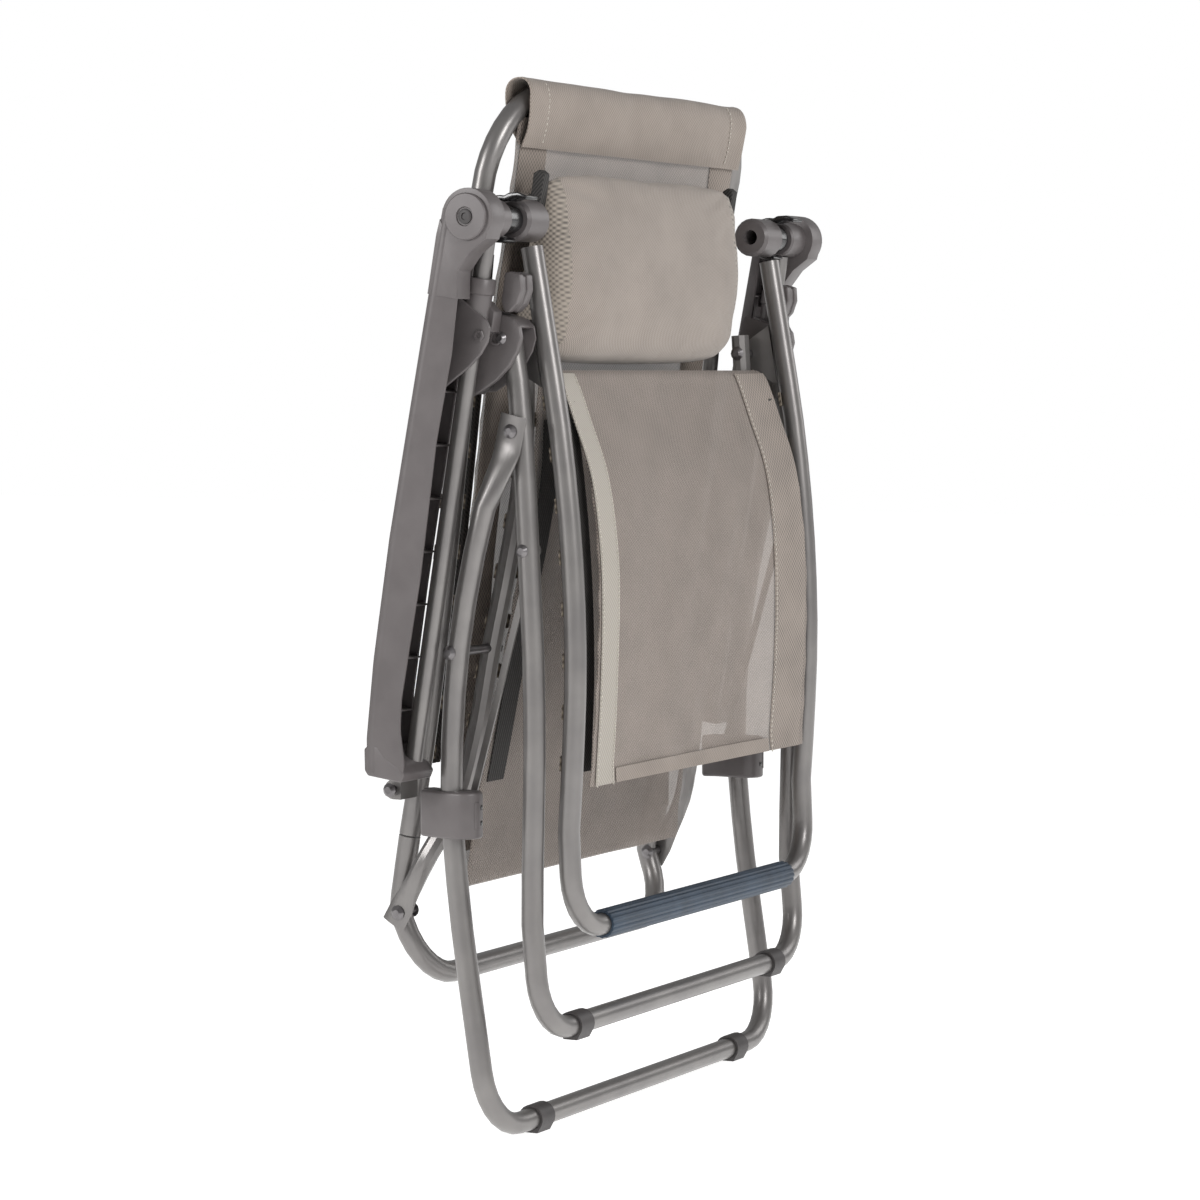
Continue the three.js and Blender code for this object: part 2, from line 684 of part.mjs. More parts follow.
function lockHousing(side, group) {
  const [y, z] = lockPivotLocal;
  const outline = [
    [-6, -83], [-16, -83], [-28, -84], [-36, -91], [-39, -101], [-36, -116],
    [-26, -134], [-8, -150], [6, -158], [10, -156], [10, -84],
  ];
  const block = toSolid(plate(outline, 255.4, 285));
  const slotFloor = y + 15;
  const slotTop = -88;
  const slotOutline = [[-60, slotTop], [slotFloor, slotTop], [slotFloor, -170], [-60, -170]];
  const slot = toSolid(plate(slotOutline, frontLegHalf - slotHalf, frontLegHalf + slotHalf));
  const hole = toSolid(crossPin(boltHole, 240, 295, [y, z], 12));
  const housing = onSide(side, toGeometry(block.subtract(slot).subtract(hole)));
  add(`lock_housing_${sideName(side)}`, housing, plastic, group);
  add(`lock_bolt_${sideName(side)}`, headedPin(side, 255.6, 285 + gap, [y, z], 5.5), steel, group);
}

rearLegFrame();
frontLegFrame();
legStays();
seatFrame();
backFrame();
headrestPillow();
legrestFrame();
const arms = armGroup();
for (const side of [-1, 1]) {
  armAxle(side);
  armrest(side, arms);
  armrestFittings(side, arms);
  lockSleeve(side, arms);
  lockLever(side, arms);
  lockHousing(side, arms);
}

export default chair;
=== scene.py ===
import bpy
import bmesh
import json
import math
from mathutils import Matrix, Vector


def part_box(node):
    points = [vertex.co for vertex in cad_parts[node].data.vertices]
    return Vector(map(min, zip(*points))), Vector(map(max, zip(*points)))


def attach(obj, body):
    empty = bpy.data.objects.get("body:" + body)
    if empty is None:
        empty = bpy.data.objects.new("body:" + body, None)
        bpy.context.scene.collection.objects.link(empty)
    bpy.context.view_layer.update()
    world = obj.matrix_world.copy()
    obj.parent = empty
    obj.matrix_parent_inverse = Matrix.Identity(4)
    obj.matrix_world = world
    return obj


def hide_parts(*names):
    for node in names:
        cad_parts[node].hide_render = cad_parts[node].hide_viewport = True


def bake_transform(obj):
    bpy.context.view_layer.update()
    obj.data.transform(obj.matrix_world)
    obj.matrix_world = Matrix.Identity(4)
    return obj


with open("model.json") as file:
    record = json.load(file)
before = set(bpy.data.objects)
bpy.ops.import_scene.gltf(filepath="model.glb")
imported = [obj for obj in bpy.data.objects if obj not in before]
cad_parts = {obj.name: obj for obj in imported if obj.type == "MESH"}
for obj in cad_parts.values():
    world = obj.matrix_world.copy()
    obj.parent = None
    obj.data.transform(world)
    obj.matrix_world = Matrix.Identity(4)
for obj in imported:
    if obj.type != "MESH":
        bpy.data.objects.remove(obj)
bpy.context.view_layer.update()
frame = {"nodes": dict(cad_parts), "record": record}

# Side profiles are [y, z] in millimetres; these two shifts put them in the model's frame.
placing = {"middle": 147.5, "foot": 13.0}
armFrame = {"pivot": (112.0, 814.0), "tilt": math.radians(9.33)}
sideNames = {-1: "left", 1: "right"}


def place(x, y, z):
    return Vector((x / 1000, (y - placing["middle"]) / 1000, (z + placing["foot"]) / 1000))


def armPlace(x, y, z):
    cosT, sinT = math.cos(armFrame["tilt"]), math.sin(armFrame["tilt"])
    py, pz = armFrame["pivot"]
    return place(x, py + y * cosT - z * sinT, pz + y * sinT + z * cosT)


# materials
def linear(hexValue):
    parts = [int(hexValue[i:i + 2], 16) / 255 for i in (1, 3, 5)]
    return tuple(c / 12.92 if c <= 0.04045 else ((c + 0.055) / 1.055) ** 2.4 for c in parts) + (1.0,)


def addNode(tree, kind, settings=None, links=None):
    node = tree.nodes.new(kind)
    for key, value in (settings or {}).items():
        setattr(node, key, value)
    for key, value in (links or {}).items():
        socket = node.inputs[key]
        if isinstance(value, bpy.types.NodeSocket):
            tree.links.new(value, socket)
        else:
            socket.default_value = value
    return node


def maths(tree, operation, values, clamp=False):
    node = addNode(tree, "ShaderNodeMath", {"operation": operation, "use_clamp": clamp}, values)
    return node.outputs[0]


def newMaterial(name):
    material = bpy.data.materials.new(name)
    material.use_nodes = True
    tree = material.node_tree
    shader = tree.nodes["Principled BSDF"]
    return material, tree, shader


def mottled(tree, coords, scale, low, high, detail=3.0):
    noise = addNode(tree, "ShaderNodeTexNoise", None, {"Vector": coords, "Scale": scale, "Detail": detail})
    ramp = addNode(tree, "ShaderNodeValToRGB", None, {"Fac": noise.outputs["Fac"]})
    ramp.color_ramp.elements[0].position = 0.32
    ramp.color_ramp.elements[1].position = 0.68
    ramp.color_ramp.elements[0].color = linear(low)
    ramp.color_ramp.elements[1].color = linear(high)
    return ramp.outputs["Color"]


def solidFinish(name, spec):
    material, tree, shader = newMaterial(name)
    coords = addNode(tree, "ShaderNodeTexCoord").outputs["Object"]
    colour = mottled(tree, coords, 1000 / spec["patchMm"], spec["low"], spec["high"])
    tree.links.new(colour, shader.inputs["Base Color"])
    grain = addNode(tree, "ShaderNodeTexNoise", None, {
        "Vector": coords, "Scale": 1000 / spec["grainMm"], "Detail": 2.0, "Roughness": 0.6})
    bump = addNode(tree, "ShaderNodeBump", None, {
        "Height": grain.outputs["Fac"], "Strength": spec["bump"], "Distance": spec["grainMm"] / 8000})
    tree.links.new(bump.outputs["Normal"], shader.inputs["Normal"])
    spread = addNode(tree, "ShaderNodeMapRange", None, {
        "Value": grain.outputs["Fac"], "To Min": spec["rough"] - 0.05, "To Max": spec["rough"] + 0.06})
    tree.links.new(spread.outputs["Result"], shader.inputs["Roughness"])
    shader.inputs["Metallic"].default_value = spec["metallic"]
    shader.inputs["IOR"].default_value = spec.get("ior", 1.5)
    shader.inputs["Coat Weight"].default_value = spec.get("coat", 0.0)
    shader.inputs["Coat Roughness"].default_value = 0.25
    return material


finishes = {
    # sprayed and baked powder on steel tube: satin, metal flake, very fine orange peel
    "powderCoatedSteel": {"low": "#7b7877", "high": "#868381", "patchMm": 40, "grainMm": 0.9, "bump": 0.12,
                          "rough": 0.36, "metallic": 0.72, "coat": 0.2},
    # nylon moulded in a spark-eroded tool: even satin with a fine stipple
    "mouldedNylon": {"low": "#5b5656", "high": "#635e5e", "patchMm": 30, "grainMm": 0.7, "bump": 0.22,
                     "rough": 0.42, "metallic": 0.12, "coat": 0.08},
    # unpainted black acetal, moulded in a polished tool
    "polishedAcetal": {"low": "#131213", "high": "#1b1a1b", "patchMm": 20, "grainMm": 0.8, "bump": 0.05,
                       "rough": 0.2, "metallic": 0.0, "coat": 0.3},
    # dark nylon with a dull mould skin
    "dullNylon": {"low": "#3a3737", "high": "#454141", "patchMm": 25, "grainMm": 0.8, "bump": 0.2,
                  "rough": 0.5, "metallic": 0.0},
    # zinc-plated rivets and bolts, coloured like the tubes
    "platedRivetSteel": {"low": "#6d6a6b", "high": "#817e7f", "patchMm": 9, "grainMm": 0.6, "bump": 0.1,
                         "rough": 0.3, "metallic": 0.85},
    # ribbed soft vinyl sleeve, extruded
    "extrudedVinyl": {"low": "#263443", "high": "#304051", "patchMm": 22, "grainMm": 0.8, "bump": 0.2,
                      "rough": 0.48, "metallic": 0.0},
}
materials = {name: solidFinish(name, spec) for name, spec in finishes.items()}


# PVC-coated polyester yarn woven into an open mesh: light shows through the gaps between yarns.
# A typical pitch of about 1.2 mm is too fine to show, so the weave is drawn coarser.
weaves = {
    "wovenSlingMesh": {"yarn": "#9d9188", "shade": "#574f48", "pitch": 3.4, "gap": 0.36},
    "doubledHemMesh": {"yarn": "#95897f", "shade": "#544c45", "pitch": 3.6, "gap": 0.0},
    "pillowMesh": {"yarn": "#988d84", "shade": "#5a524b", "pitch": 3.2, "gap": 0.0, "axes": ("X", "Z")},
    "openGussetMesh": {"yarn": "#978d82", "shade": "#2e2925", "pitch": 5.0, "gap": 0.0, "axes": ("Y", "Z")},
    "coarseEdgeMesh": {"yarn": "#92867c", "shade": "#352e29", "pitch": 5.0, "gap": 0.0},
}


def wovenFinish(name, spec):
    material, tree, shader = newMaterial(name)
    if spec.get("axes"):
        uv = addNode(tree, "ShaderNodeTexCoord").outputs["Object"]
    else:
        uv = addNode(tree, "ShaderNodeUVMap").outputs["UV"]
    split = addNode(tree, "ShaderNodeSeparateXYZ", None, {"Vector": uv})
    turn = 2 * math.pi / (spec["pitch"] / 1000)
    waves = []
    for axis in spec.get("axes", ("X", "Y")):
        waves.append(maths(tree, "SINE", {0: maths(tree, "MULTIPLY", {0: split.outputs[axis], 1: turn})}))
    cross = maths(tree, "MULTIPLY", {0: waves[0], 1: waves[1]})
    spread = addNode(tree, "ShaderNodeMapRange", None, {"Value": cross, "From Min": -1.0, "From Max": 1.0})
    height = spread.outputs[0]
    patch = addNode(tree, "ShaderNodeTexNoise", None, {"Vector": uv, "Scale": 22.0, "Detail": 3.0})
    tone = maths(tree, "MULTIPLY_ADD", {0: patch.outputs["Fac"], 1: 0.45, 2: -0.02})
    mixed = maths(tree, "MULTIPLY_ADD", {0: height, 1: 0.7, 2: tone}, True)
    ramp = addNode(tree, "ShaderNodeValToRGB", None, {"Fac": mixed})
    ramp.color_ramp.elements[0].color = linear(spec["shade"])
    ramp.color_ramp.elements[1].color = linear(spec["yarn"])
    ramp.color_ramp.elements[1].position = 0.75
    tree.links.new(ramp.outputs["Color"], shader.inputs["Base Color"])
    bump = addNode(tree, "ShaderNodeBump", None, {"Height": height, "Strength": 0.5, "Distance": 0.0005})
    tree.links.new(bump.outputs["Normal"], shader.inputs["Normal"])
    shader.inputs["Roughness"].default_value = 0.72
    shader.inputs["Sheen Weight"].default_value = 0.25
    shader.inputs["Sheen Roughness"].default_value = 0.5
    if spec["gap"]:
        solid = addNode(tree, "ShaderNodeMapRange", None, {
            "Value": height, "From Min": 0.15, "From Max": 0.6,
            "To Min": 1.0 - spec["gap"] * 1.5, "To Max": 1.0 - spec["gap"] * 0.7})
        tree.links.new(solid.outputs["Result"], shader.inputs["Alpha"])
    return material


for weaveName, weaveSpec in weaves.items():
    materials[weaveName] = wovenFinish(weaveName, weaveSpec)


def plainWeave(name, spec):
    material, tree, shader = newMaterial(name)
    uv = addNode(tree, "ShaderNodeTexCoord").outputs["Object"]
    wave = addNode(tree, "ShaderNodeTexWave", {"bands_direction": "DIAGONAL"}, {
        "Vector": uv, "Scale": 0.314 / (spec["pitch"] / 1000), "Distortion": 0.3})
    ramp = addNode(tree, "ShaderNodeValToRGB", None, {"Fac": wave.outputs["Fac"]})
    ramp.color_ramp.elements[0].color = linear(spec["shade"])
    ramp.color_ramp.elements[1].color = linear(spec["yarn"])
    tree.links.new(ramp.outputs["Color"], shader.inputs["Base Color"])
    bump = addNode(tree, "ShaderNodeBump", None, {
        "Height": wave.outputs["Fac"], "Strength": 0.5, "Distance": 0.0005})
    tree.links.new(bump.outputs["Normal"], shader.inputs["Normal"])
    shader.inputs["Roughness"].default_value = spec["rough"]
    return material


cloths = {
    # flat woven polyester tape for the lacing loops
    "wovenTape": {"yarn": "#83796b", "shade": "#423a32", "pitch": 3.4, "rough": 0.8},
    # dark ribbed band: painted shade for the shadowed gap between cloth and tube behind the lacing loops, and
    # for the gap behind the pillow's ends
    "paintedShadeBand": {"yarn": "#3b3836", "shade": "#121111", "pitch": 1.8, "rough": 0.75},
    # spun polyester sewing thread, paler than the cloth
    "sewingThread": {"yarn": "#d8d2c8", "shade": "#a9a298", "pitch": 1.2, "rough": 0.7},
    # welded clear tape along the hem, which looks pale
    "weldedHemTape": {"yarn": "#aca69d", "shade": "#989188", "pitch": 2.2, "rough": 0.55},
}
for clothName, clothSpec in cloths.items():
    materials[clothName] = plainWeave(clothName, clothSpec)

print("materials ready")


# mesh helpers
def linked(name, data):
    piece = bpy.data.objects.new(name, data)
    bpy.context.scene.collection.objects.link(piece)
    return piece


def evaluatedMesh(piece):
    bpy.context.view_layer.update()
    depsgraph = bpy.context.evaluated_depsgraph_get()
    return bpy.data.meshes.new_from_object(piece.evaluated_get(depsgraph), depsgraph=depsgraph)


def meshPiece(name, verts, faces, material, uvs=None, smoothAngle=40):
    mesh = bpy.data.meshes.new(name)
    mesh.from_pydata([tuple(v) for v in verts], [], faces)
    mesh.update()
    if uvs:
        layer = mesh.uv_layers.new(name="UVMap")
        for loop in mesh.loops:
            layer.data[loop.index].uv = uvs[loop.vertex_index]
    piece = linked(name, mesh)
    mesh.materials.append(materials[material])
    if smoothAngle:
        mesh.shade_smooth()
        mesh.set_sharp_from_angle(angle=math.radians(smoothAngle))
    return piece


def catmull(points, steps):
    points = [Vector(p) for p in points]
    ends = [points[0] * 2 - points[1]] + points + [points[-1] * 2 - points[-2]]
    out = []
    for i in range(1, len(ends) - 2):
        a, b, c, d = ends[i - 1:i + 3]
        for k in range(steps):
            t = k / steps
            out.append(0.5 * (2 * b + (c - a) * t + (2 * a - 5 * b + 4 * c - d) * t * t
                              + (3 * b - a - 3 * c + d) * t * t * t))
    out.append(points[-1].copy())
    return out


def evenly(points, count):
    lengths = [0.0]
    for a, b in zip(points, points[1:]):
        lengths.append(lengths[-1] + (b - a).length)
    out, k = [], 0
    for i in range(count):
        want = lengths[-1] * i / (count - 1)
        while k < len(points) - 2 and lengths[k + 1] < want:
            k += 1
        span = max(lengths[k + 1] - lengths[k], 1e-12)
        out.append(points[k].lerp(points[k + 1], min(1.0, (want - lengths[k]) / span)))
    return out, lengths[-1]


def join(name, parts):
    bm = bmesh.new()
    for part in parts:
        mesh = evaluatedMesh(part)
        bm.from_mesh(mesh)
        bpy.data.meshes.remove(mesh)
    material = parts[0].data.materials[0]
    for part in parts:
        bpy.data.objects.remove(part)
    mesh = bpy.data.meshes.new(name)
    bm.to_mesh(mesh)
    bm.free()
    mesh.materials.append(material)
    piece = linked(name, mesh)
    return piece


def moulded(name, outline, x0, x1, material, toFrame=place, bevel=1.5, segments=3):
    bm = bmesh.new()
    base = [bm.verts.new(toFrame(x0, y, z)) for y, z in outline]
    top = [bm.verts.new(toFrame(x1, y, z)) for y, z in outline]
    count = len(outline)
    bm.faces.new(base)
    bm.faces.new(top[::-1])
    for i in range(count):
        bm.faces.new([base[i], top[i], top[(i + 1) % count], base[(i + 1) % count]])
    bmesh.ops.recalc_face_normals(bm, faces=bm.faces)
    sharp = [e for e in bm.edges if e.calc_face_angle(0) > math.radians(25)]
    bmesh.ops.bevel(bm, geom=sharp, offset=bevel / 1000, segments=segments, profile=0.5, affect="EDGES",
                    clamp_overlap=True)
    bmesh.ops.triangulate(bm, faces=[f for f in bm.faces if len(f.verts) > 4])
    bmesh.ops.recalc_face_normals(bm, faces=bm.faces)
    mesh = bpy.data.meshes.new(name)
    bm.to_mesh(mesh)
    bm.free()
    piece = linked(name, mesh)
    mesh.materials.append(materials[material])
    mesh.shade_smooth()
    mesh.set_sharp_from_angle(angle=math.radians(50))
    return piece


def lathe(name, profile, centre, material, toFrame=place, sides=48):
    verts, faces = [], []
    for x, r in profile:
        for k in range(sides):
            a = 2 * math.pi * k / sides
            verts.append(toFrame(x, centre[0] + r * math.cos(a), centre[1] + r * math.sin(a)))
    rings = len(profile)
    for i in range(rings - 1):
        for k in range(sides):
            n = (k + 1) % sides
            faces.append((i * sides + k, i * sides + n, (i + 1) * sides + n, (i + 1) * sides + k))
    faces.append(tuple(range(sides))[::-1])
    faces.append(tuple((rings - 1) * sides + k for k in range(sides)))
    piece = meshPiece(name, verts, faces, material, smoothAngle=35)
    fixNormals(piece)
    return piece


def fixNormals(piece):
    bm = bmesh.new()
    bm.from_mesh(piece.data)
    bmesh.ops.recalc_face_normals(bm, faces=bm.faces)
    bm.to_mesh(piece.data)
    bm.free()


def arc(centre, radius, fromDeg, toDeg, steps):
    return [(centre[0] + radius * math.cos(math.radians(fromDeg + (toDeg - fromDeg) * k / steps)),
             centre[1] + radius * math.sin(math.radians(fromDeg + (toDeg - fromDeg) * k / steps)))
            for k in range(steps + 1)]


# geometry nodes
def newTree(name, inputs):
    tree = bpy.data.node_groups.new(name, "GeometryNodeTree")
    tree.interface.new_socket("Geometry", in_out="INPUT", socket_type="NodeSocketGeometry")
    for label, kind in inputs:
        tree.interface.new_socket(label, in_out="INPUT", socket_type=kind)
    tree.interface.new_socket("Geometry", in_out="OUTPUT", socket_type="NodeSocketGeometry")
    return tree, tree.nodes.new("NodeGroupInput"), tree.nodes.new("NodeGroupOutput")


def softShadingTree():
    tree, source, result = newTree("softShading", [
        ("Merge", "NodeSocketFloat"), ("Angle", "NodeSocketFloat")])
    merge = addNode(tree, "GeometryNodeMergeByDistance", None,
                    {"Geometry": source.outputs["Geometry"], "Distance": source.outputs["Merge"]})
    angle = addNode(tree, "GeometryNodeInputMeshEdgeAngle")
    sharp = addNode(tree, "FunctionNodeCompare", {"data_type": "FLOAT", "operation": "LESS_THAN"},
                    {"A": angle.outputs["Unsigned Angle"], "B": source.outputs["Angle"]})
    faces = addNode(tree, "GeometryNodeSetShadeSmooth", {"domain": "FACE"},
                    {"Geometry": merge.outputs["Geometry"]})
    edges = addNode(tree, "GeometryNodeSetShadeSmooth", {"domain": "EDGE"},
                    {"Geometry": faces.outputs["Geometry"], "Shade Smooth": sharp.outputs["Result"]})
    tree.links.new(edges.outputs["Geometry"], result.inputs["Geometry"])
    return tree


def repeatTree():
    tree, source, result = newTree("repeatAlongPath", [
        ("Item", "NodeSocketObject"), ("Spacing", "NodeSocketFloat"), ("Material", "NodeSocketMaterial")])
    curve = addNode(tree, "GeometryNodeMeshToCurve", None, {"Mesh": source.outputs["Geometry"]})
    even = addNode(tree, "GeometryNodeResampleCurve", {"mode": "LENGTH"},
                   {"Curve": curve.outputs["Curve"], "Length": source.outputs["Spacing"]})
    tangent = addNode(tree, "GeometryNodeInputTangent")
    turn = addNode(tree, "FunctionNodeAlignRotationToVector", {"axis": "Z", "pivot_axis": "X"},
                   {"Vector": tangent.outputs["Tangent"]})
    info = addNode(tree, "GeometryNodeObjectInfo", None, {"Object": source.outputs["Item"]})
    copies = addNode(tree, "GeometryNodeInstanceOnPoints", None, {
        "Points": even.outputs["Curve"], "Instance": info.outputs["Geometry"],
        "Rotation": turn.outputs["Rotation"]})
    real = addNode(tree, "GeometryNodeRealizeInstances", None, {"Geometry": copies.outputs["Instances"]})
    paint = addNode(tree, "GeometryNodeSetMaterial", None,
                    {"Geometry": real.outputs["Geometry"], "Material": source.outputs["Material"]})
    tree.links.new(paint.outputs["Geometry"], result.inputs["Geometry"])
    return tree


trees = {"soft": softShadingTree(), "repeat": repeatTree()}


def setInputs(modifier, values):
    for item in modifier.node_group.interface.items_tree:
        if item.item_type == "SOCKET" and item.in_out == "INPUT" and item.name in values:
            modifier[item.identifier] = values[item.name]


def repeated(name, path, item, spacing, material):
    mesh = bpy.data.meshes.new(name)
    mesh.from_pydata([tuple(p) for p in path], [(i, i + 1) for i in range(len(path) - 1)], [])
    piece = linked(name, mesh)
    modifier = piece.modifiers.new("repeat", "NODES")
    modifier.node_group = trees["repeat"]
    setInputs(modifier, {"Item": item, "Spacing": spacing, "Material": materials[material]})
    result = evaluatedMesh(piece)
    piece.modifiers.clear()
    piece.data = result
    result.materials.clear()
    result.materials.append(materials[material])
    return piece


print("node trees ready")

# carried-over CAD nodes: powder coat, nylon and rivet finishes
slotFinish = {"metal": "powderCoatedSteel", "steel": "platedRivetSteel", "arm_plastic": "mouldedNylon",
              "dark_plastic": "dullNylon", "sling_fabric": "wovenSlingMesh", "grip_rubber": "extrudedVinyl"}
slotOf = {row["node"]: row["material_slot"] for row in frame["record"]["subparts"]}
for nodeName, node in frame["nodes"].items():
    node.data.materials.clear()
    node.data.materials.append(materials[slotFinish[slotOf[nodeName]]])
    node.data.shade_smooth()
    shading = node.modifiers.new("softShading", "NODES")
    shading.node_group = trees["soft"]
    setInputs(shading, {"Merge": 0.00002, "Angle": math.radians(35)})
print("cad nodes painted")

# sling: one mesh cloth from the head bar down the back, round the hip, up the seat and over the knee
sling = {
    "thickness": 1.1,
    "beadRadius": 2.6,
    "scallop": 2.2,
    "tabSpacing": 43.0,
    "columns": 88,
    "bendHalf": 214,
    "sleeveHalf": 221,
    "backHalf": 222.0,
    "seatHalf": 206.0,
    "legrestHalf": 225.0,
    "creaseReach": 110.0,
}
backLine = [[193, 209], [199.5, 216], [201, 262], [199, 330], [194, 420], [184, 520], [170, 630],
            [156, 740], [139, 830], [130.5, 885], [127, 908]]
sleeveLine = [[125, 881], [119, 900], [115.6, 925], [119, 938], [128, 943], [138, 939], [142, 925],
              [139, 905], [127.5, 883]]
seatRearLine = [[151, 430], [168, 340], [180, 275], [186, 236], [188, 214], [190.5, 207.5], [193, 209]]
seatFrontLine = [[102, 680.5], [108, 677], [113, 664], [119, 600], [132, 520], [151, 430]]
legrestLine = [[102, 680.5], [95, 678], [88, 667], [76, 636], [58, 585], [49, 520], [47, 460], [49, 390],
               [52, 335], [54, 308]]


def ripple(x, s, amount, seed):
    return amount * (math.sin(0.031 * x + 0.017 * s + seed) * 0.5
                     + math.sin(0.013 * x - 0.041 * s + 2.1 * seed) * 0.3
                     + math.sin(0.067 * x + 0.006 * s + 0.7 * seed) * 0.25)


def sampled(line, rows):
    return evenly(catmull([(0, y, z) for y, z in line], 12), rows)


def normalAt(centre, i):
    before, after = centre[max(0, i - 1)], centre[min(len(centre) - 1, i + 1)]
    tangent = (after - before).normalized()
    return Vector((0, -tangent.z, tangent.y))


def fadeAt(i, rows):
    return min(1.0, i / 4, (rows - 1 - i) / 4)


def rimOf(columns, rows):
    wide = columns + 1
    rim = [(j, j + 1) for j in range(columns)]
    rim += [(wide * i + columns, wide * (i + 1) + columns) for i in range(rows - 1)]
    rim += [((rows - 1) * wide + j + 1, (rows - 1) * wide + j) for j in range(columns)]
    rim += [(wide * (i + 1), wide * i) for i in range(rows - 1)]
    return rim


# the cloth swells into a rounded bead along its side edges
def halfThickness(edge):
    radius = sling["beadRadius"]
    bead = 0.0
    if edge < 2 * radius:
        bead = radius * math.sqrt(max(0.0, 1 - ((edge - radius) / radius) ** 2))
    return max(sling["thickness"] / 2, bead)


def slingPanel(name, line, halfStart, halfEnd, spec, waves=1.2, seed=0.0, crown=0.0):
    centre, length = sampled(line, spec["rows"])
    rows, columns = spec["rows"], sling["columns"]
    front, uvs = [], []
    for i, point in enumerate(centre):
        normal = normalAt(centre, i)
        s = length * i / (rows - 1)
        half = halfStart + (halfEnd - halfStart) * i / (rows - 1)
        pull = sling["scallop"] * abs(math.sin(math.pi * s / sling["tabSpacing"]))
        fade = fadeAt(i, rows)
        for j in range(columns + 1):
            share = 2 * j / columns - 1
            x = share * (half - pull * fade)
            edge = 1 - abs(share)
            lift = ripple(x, s, waves * fade, seed) * min(1.0, edge * 6)
            lift += crown * (1 - share * share) * fade
            lift += spec.get("gathers", 0.0) * math.sin(0.062 * x + 0.9 * math.sin(0.021 * x)) * fade
            away = (s - spec.get("creaseAt", 0.0)) / sling["creaseReach"]
            crease = spec.get("creases", 0.0) * math.exp(-away ** 2)
            fold = math.sin(0.29 * s + 0.02 * x + 2.2 * math.sin(0.013 * x))
            lift += crease * fold * (1 - edge) ** 2 * fade
            y, z = point.y + normal.y * lift, point.z + normal.z * lift
            front.append((x, y, z, normal.y, normal.z, edge * half))
            uvs.append((x / 1000, s / 1000))
    verts, allUvs = [], []
    for face in (-1, 1):
        for x, y, z, ny, nz, edge in front:
            offset = face * halfThickness(edge)
            verts.append(place(x, y - ny * offset, z - nz * offset))
        allUvs += uvs
    faces, wide, sheet = [], columns + 1, (columns + 1) * rows
    for i in range(rows - 1):
        for j in range(columns):
            a = i * wide + j
            quad = (a, a + 1, a + 1 + wide, a + wide)
            faces.append(quad)
            faces.append(tuple(sheet + q for q in quad[::-1]))
    faces += [(b, a, sheet + a, sheet + b) for a, b in rimOf(columns, rows)]
    piece = meshPiece(name, verts, faces, "wovenSlingMesh", allUvs, smoothAngle=60)
    fixNormals(piece)
    return piece, length


legrestSling, legrestLength = slingPanel(
    "legrestSling", legrestLine, sling["bendHalf"], sling["legrestHalf"], {"rows": 90}, 0.8, 1.0, 5.0)
seatFrontSling, seatFrontLength = slingPanel(
    "seatFrontSling", seatFrontLine, sling["bendHalf"], sling["seatHalf"], {"rows": 56}, 1.2, 2.0)
seatRearSling, seatRearLength = slingPanel(
    "seatRearSling", seatRearLine, sling["seatHalf"], sling["bendHalf"], {"rows": 56}, 1.2, 2.6)
backSling, backLength = slingPanel(
    "backSling", backLine, sling["bendHalf"], sling["backHalf"],
    {"rows": 190, "creases": 3.0, "creaseAt": 150.0}, 1.8, 3.0)
headSleeve, sleeveLength = slingPanel(
    "headSleeve", sleeveLine, sling["sleeveHalf"], sling["sleeveHalf"],
    {"rows": 60, "gathers": 0.45}, 0.9, 4.0)
headSleeve.data.materials[0] = materials["doubledHemMesh"]
print("sling made")


def halfAt(options, share):
    return options["half"][0] + (options["half"][1] - options["half"][0]) * share


# how far a panel's cloth stands off its line at x, where the panel is half wide
def clothLift(x, s, half, fade, options):
    share = x / half
    lift = ripple(x, s, options["waves"] * fade, options["seed"]) * min(1.0, (1 - abs(share)) * 6)
    return lift + options.get("crown", 0.0) * (1 - share * share) * fade


# strips sewn or welded on a panel: they follow the same line, a little proud of the cloth
def clothStrip(name, line, x0, x1, s0, s1, material, options):
    centre, length = sampled(line, options["rows"])
    s1 = length if s1 is None else s1
    columns, ribs, face = options.get("columns", 8), options.get("ribs", 0), options.get("face", -1)
    proud, thick = options.get("proud", 1.4), options.get("thick", 0.5)
    inside, outside, uvs, rows = [], [], [], 0
    for i, point in enumerate(centre):
        s = length * i / (options["rows"] - 1)
        if not s0 <= s <= s1:
            continue
        rows += 1
        normal = normalAt(centre, i)
        half = halfAt(options, s / length)
        fade = fadeAt(i, options["rows"])
        for j in range(columns + 1):
            x = x0 + (x1 - x0) * j / columns
            lift = clothLift(x, s, half, fade, options)
            rib = 0.9 * abs(math.sin(math.pi * ribs * j / columns)) if ribs else 0.0
            for store, extra in ((inside, proud), (outside, proud + thick + rib)):
                offset = -face * extra + lift
                store.append(place(x, point.y + normal.y * offset, point.z + normal.z * offset))
            uvs.append((x / 1000, s / 1000))
    wide, sheet = columns + 1, (columns + 1) * rows
    faces = []
    for i in range(rows - 1):
        for j in range(columns):
            a = i * wide + j
            faces.append((a, a + 1, a + 1 + wide, a + wide))
            faces.append((sheet + a + wide, sheet + a + 1 + wide, sheet + a + 1, sheet + a))
    faces += [(b, a, sheet + a, sheet + b) for a, b in rimOf(columns, rows)]
    piece = meshPiece(name, inside + outside, faces, material, uvs + uvs, smoothAngle=50)
    fixNormals(piece)
    return piece


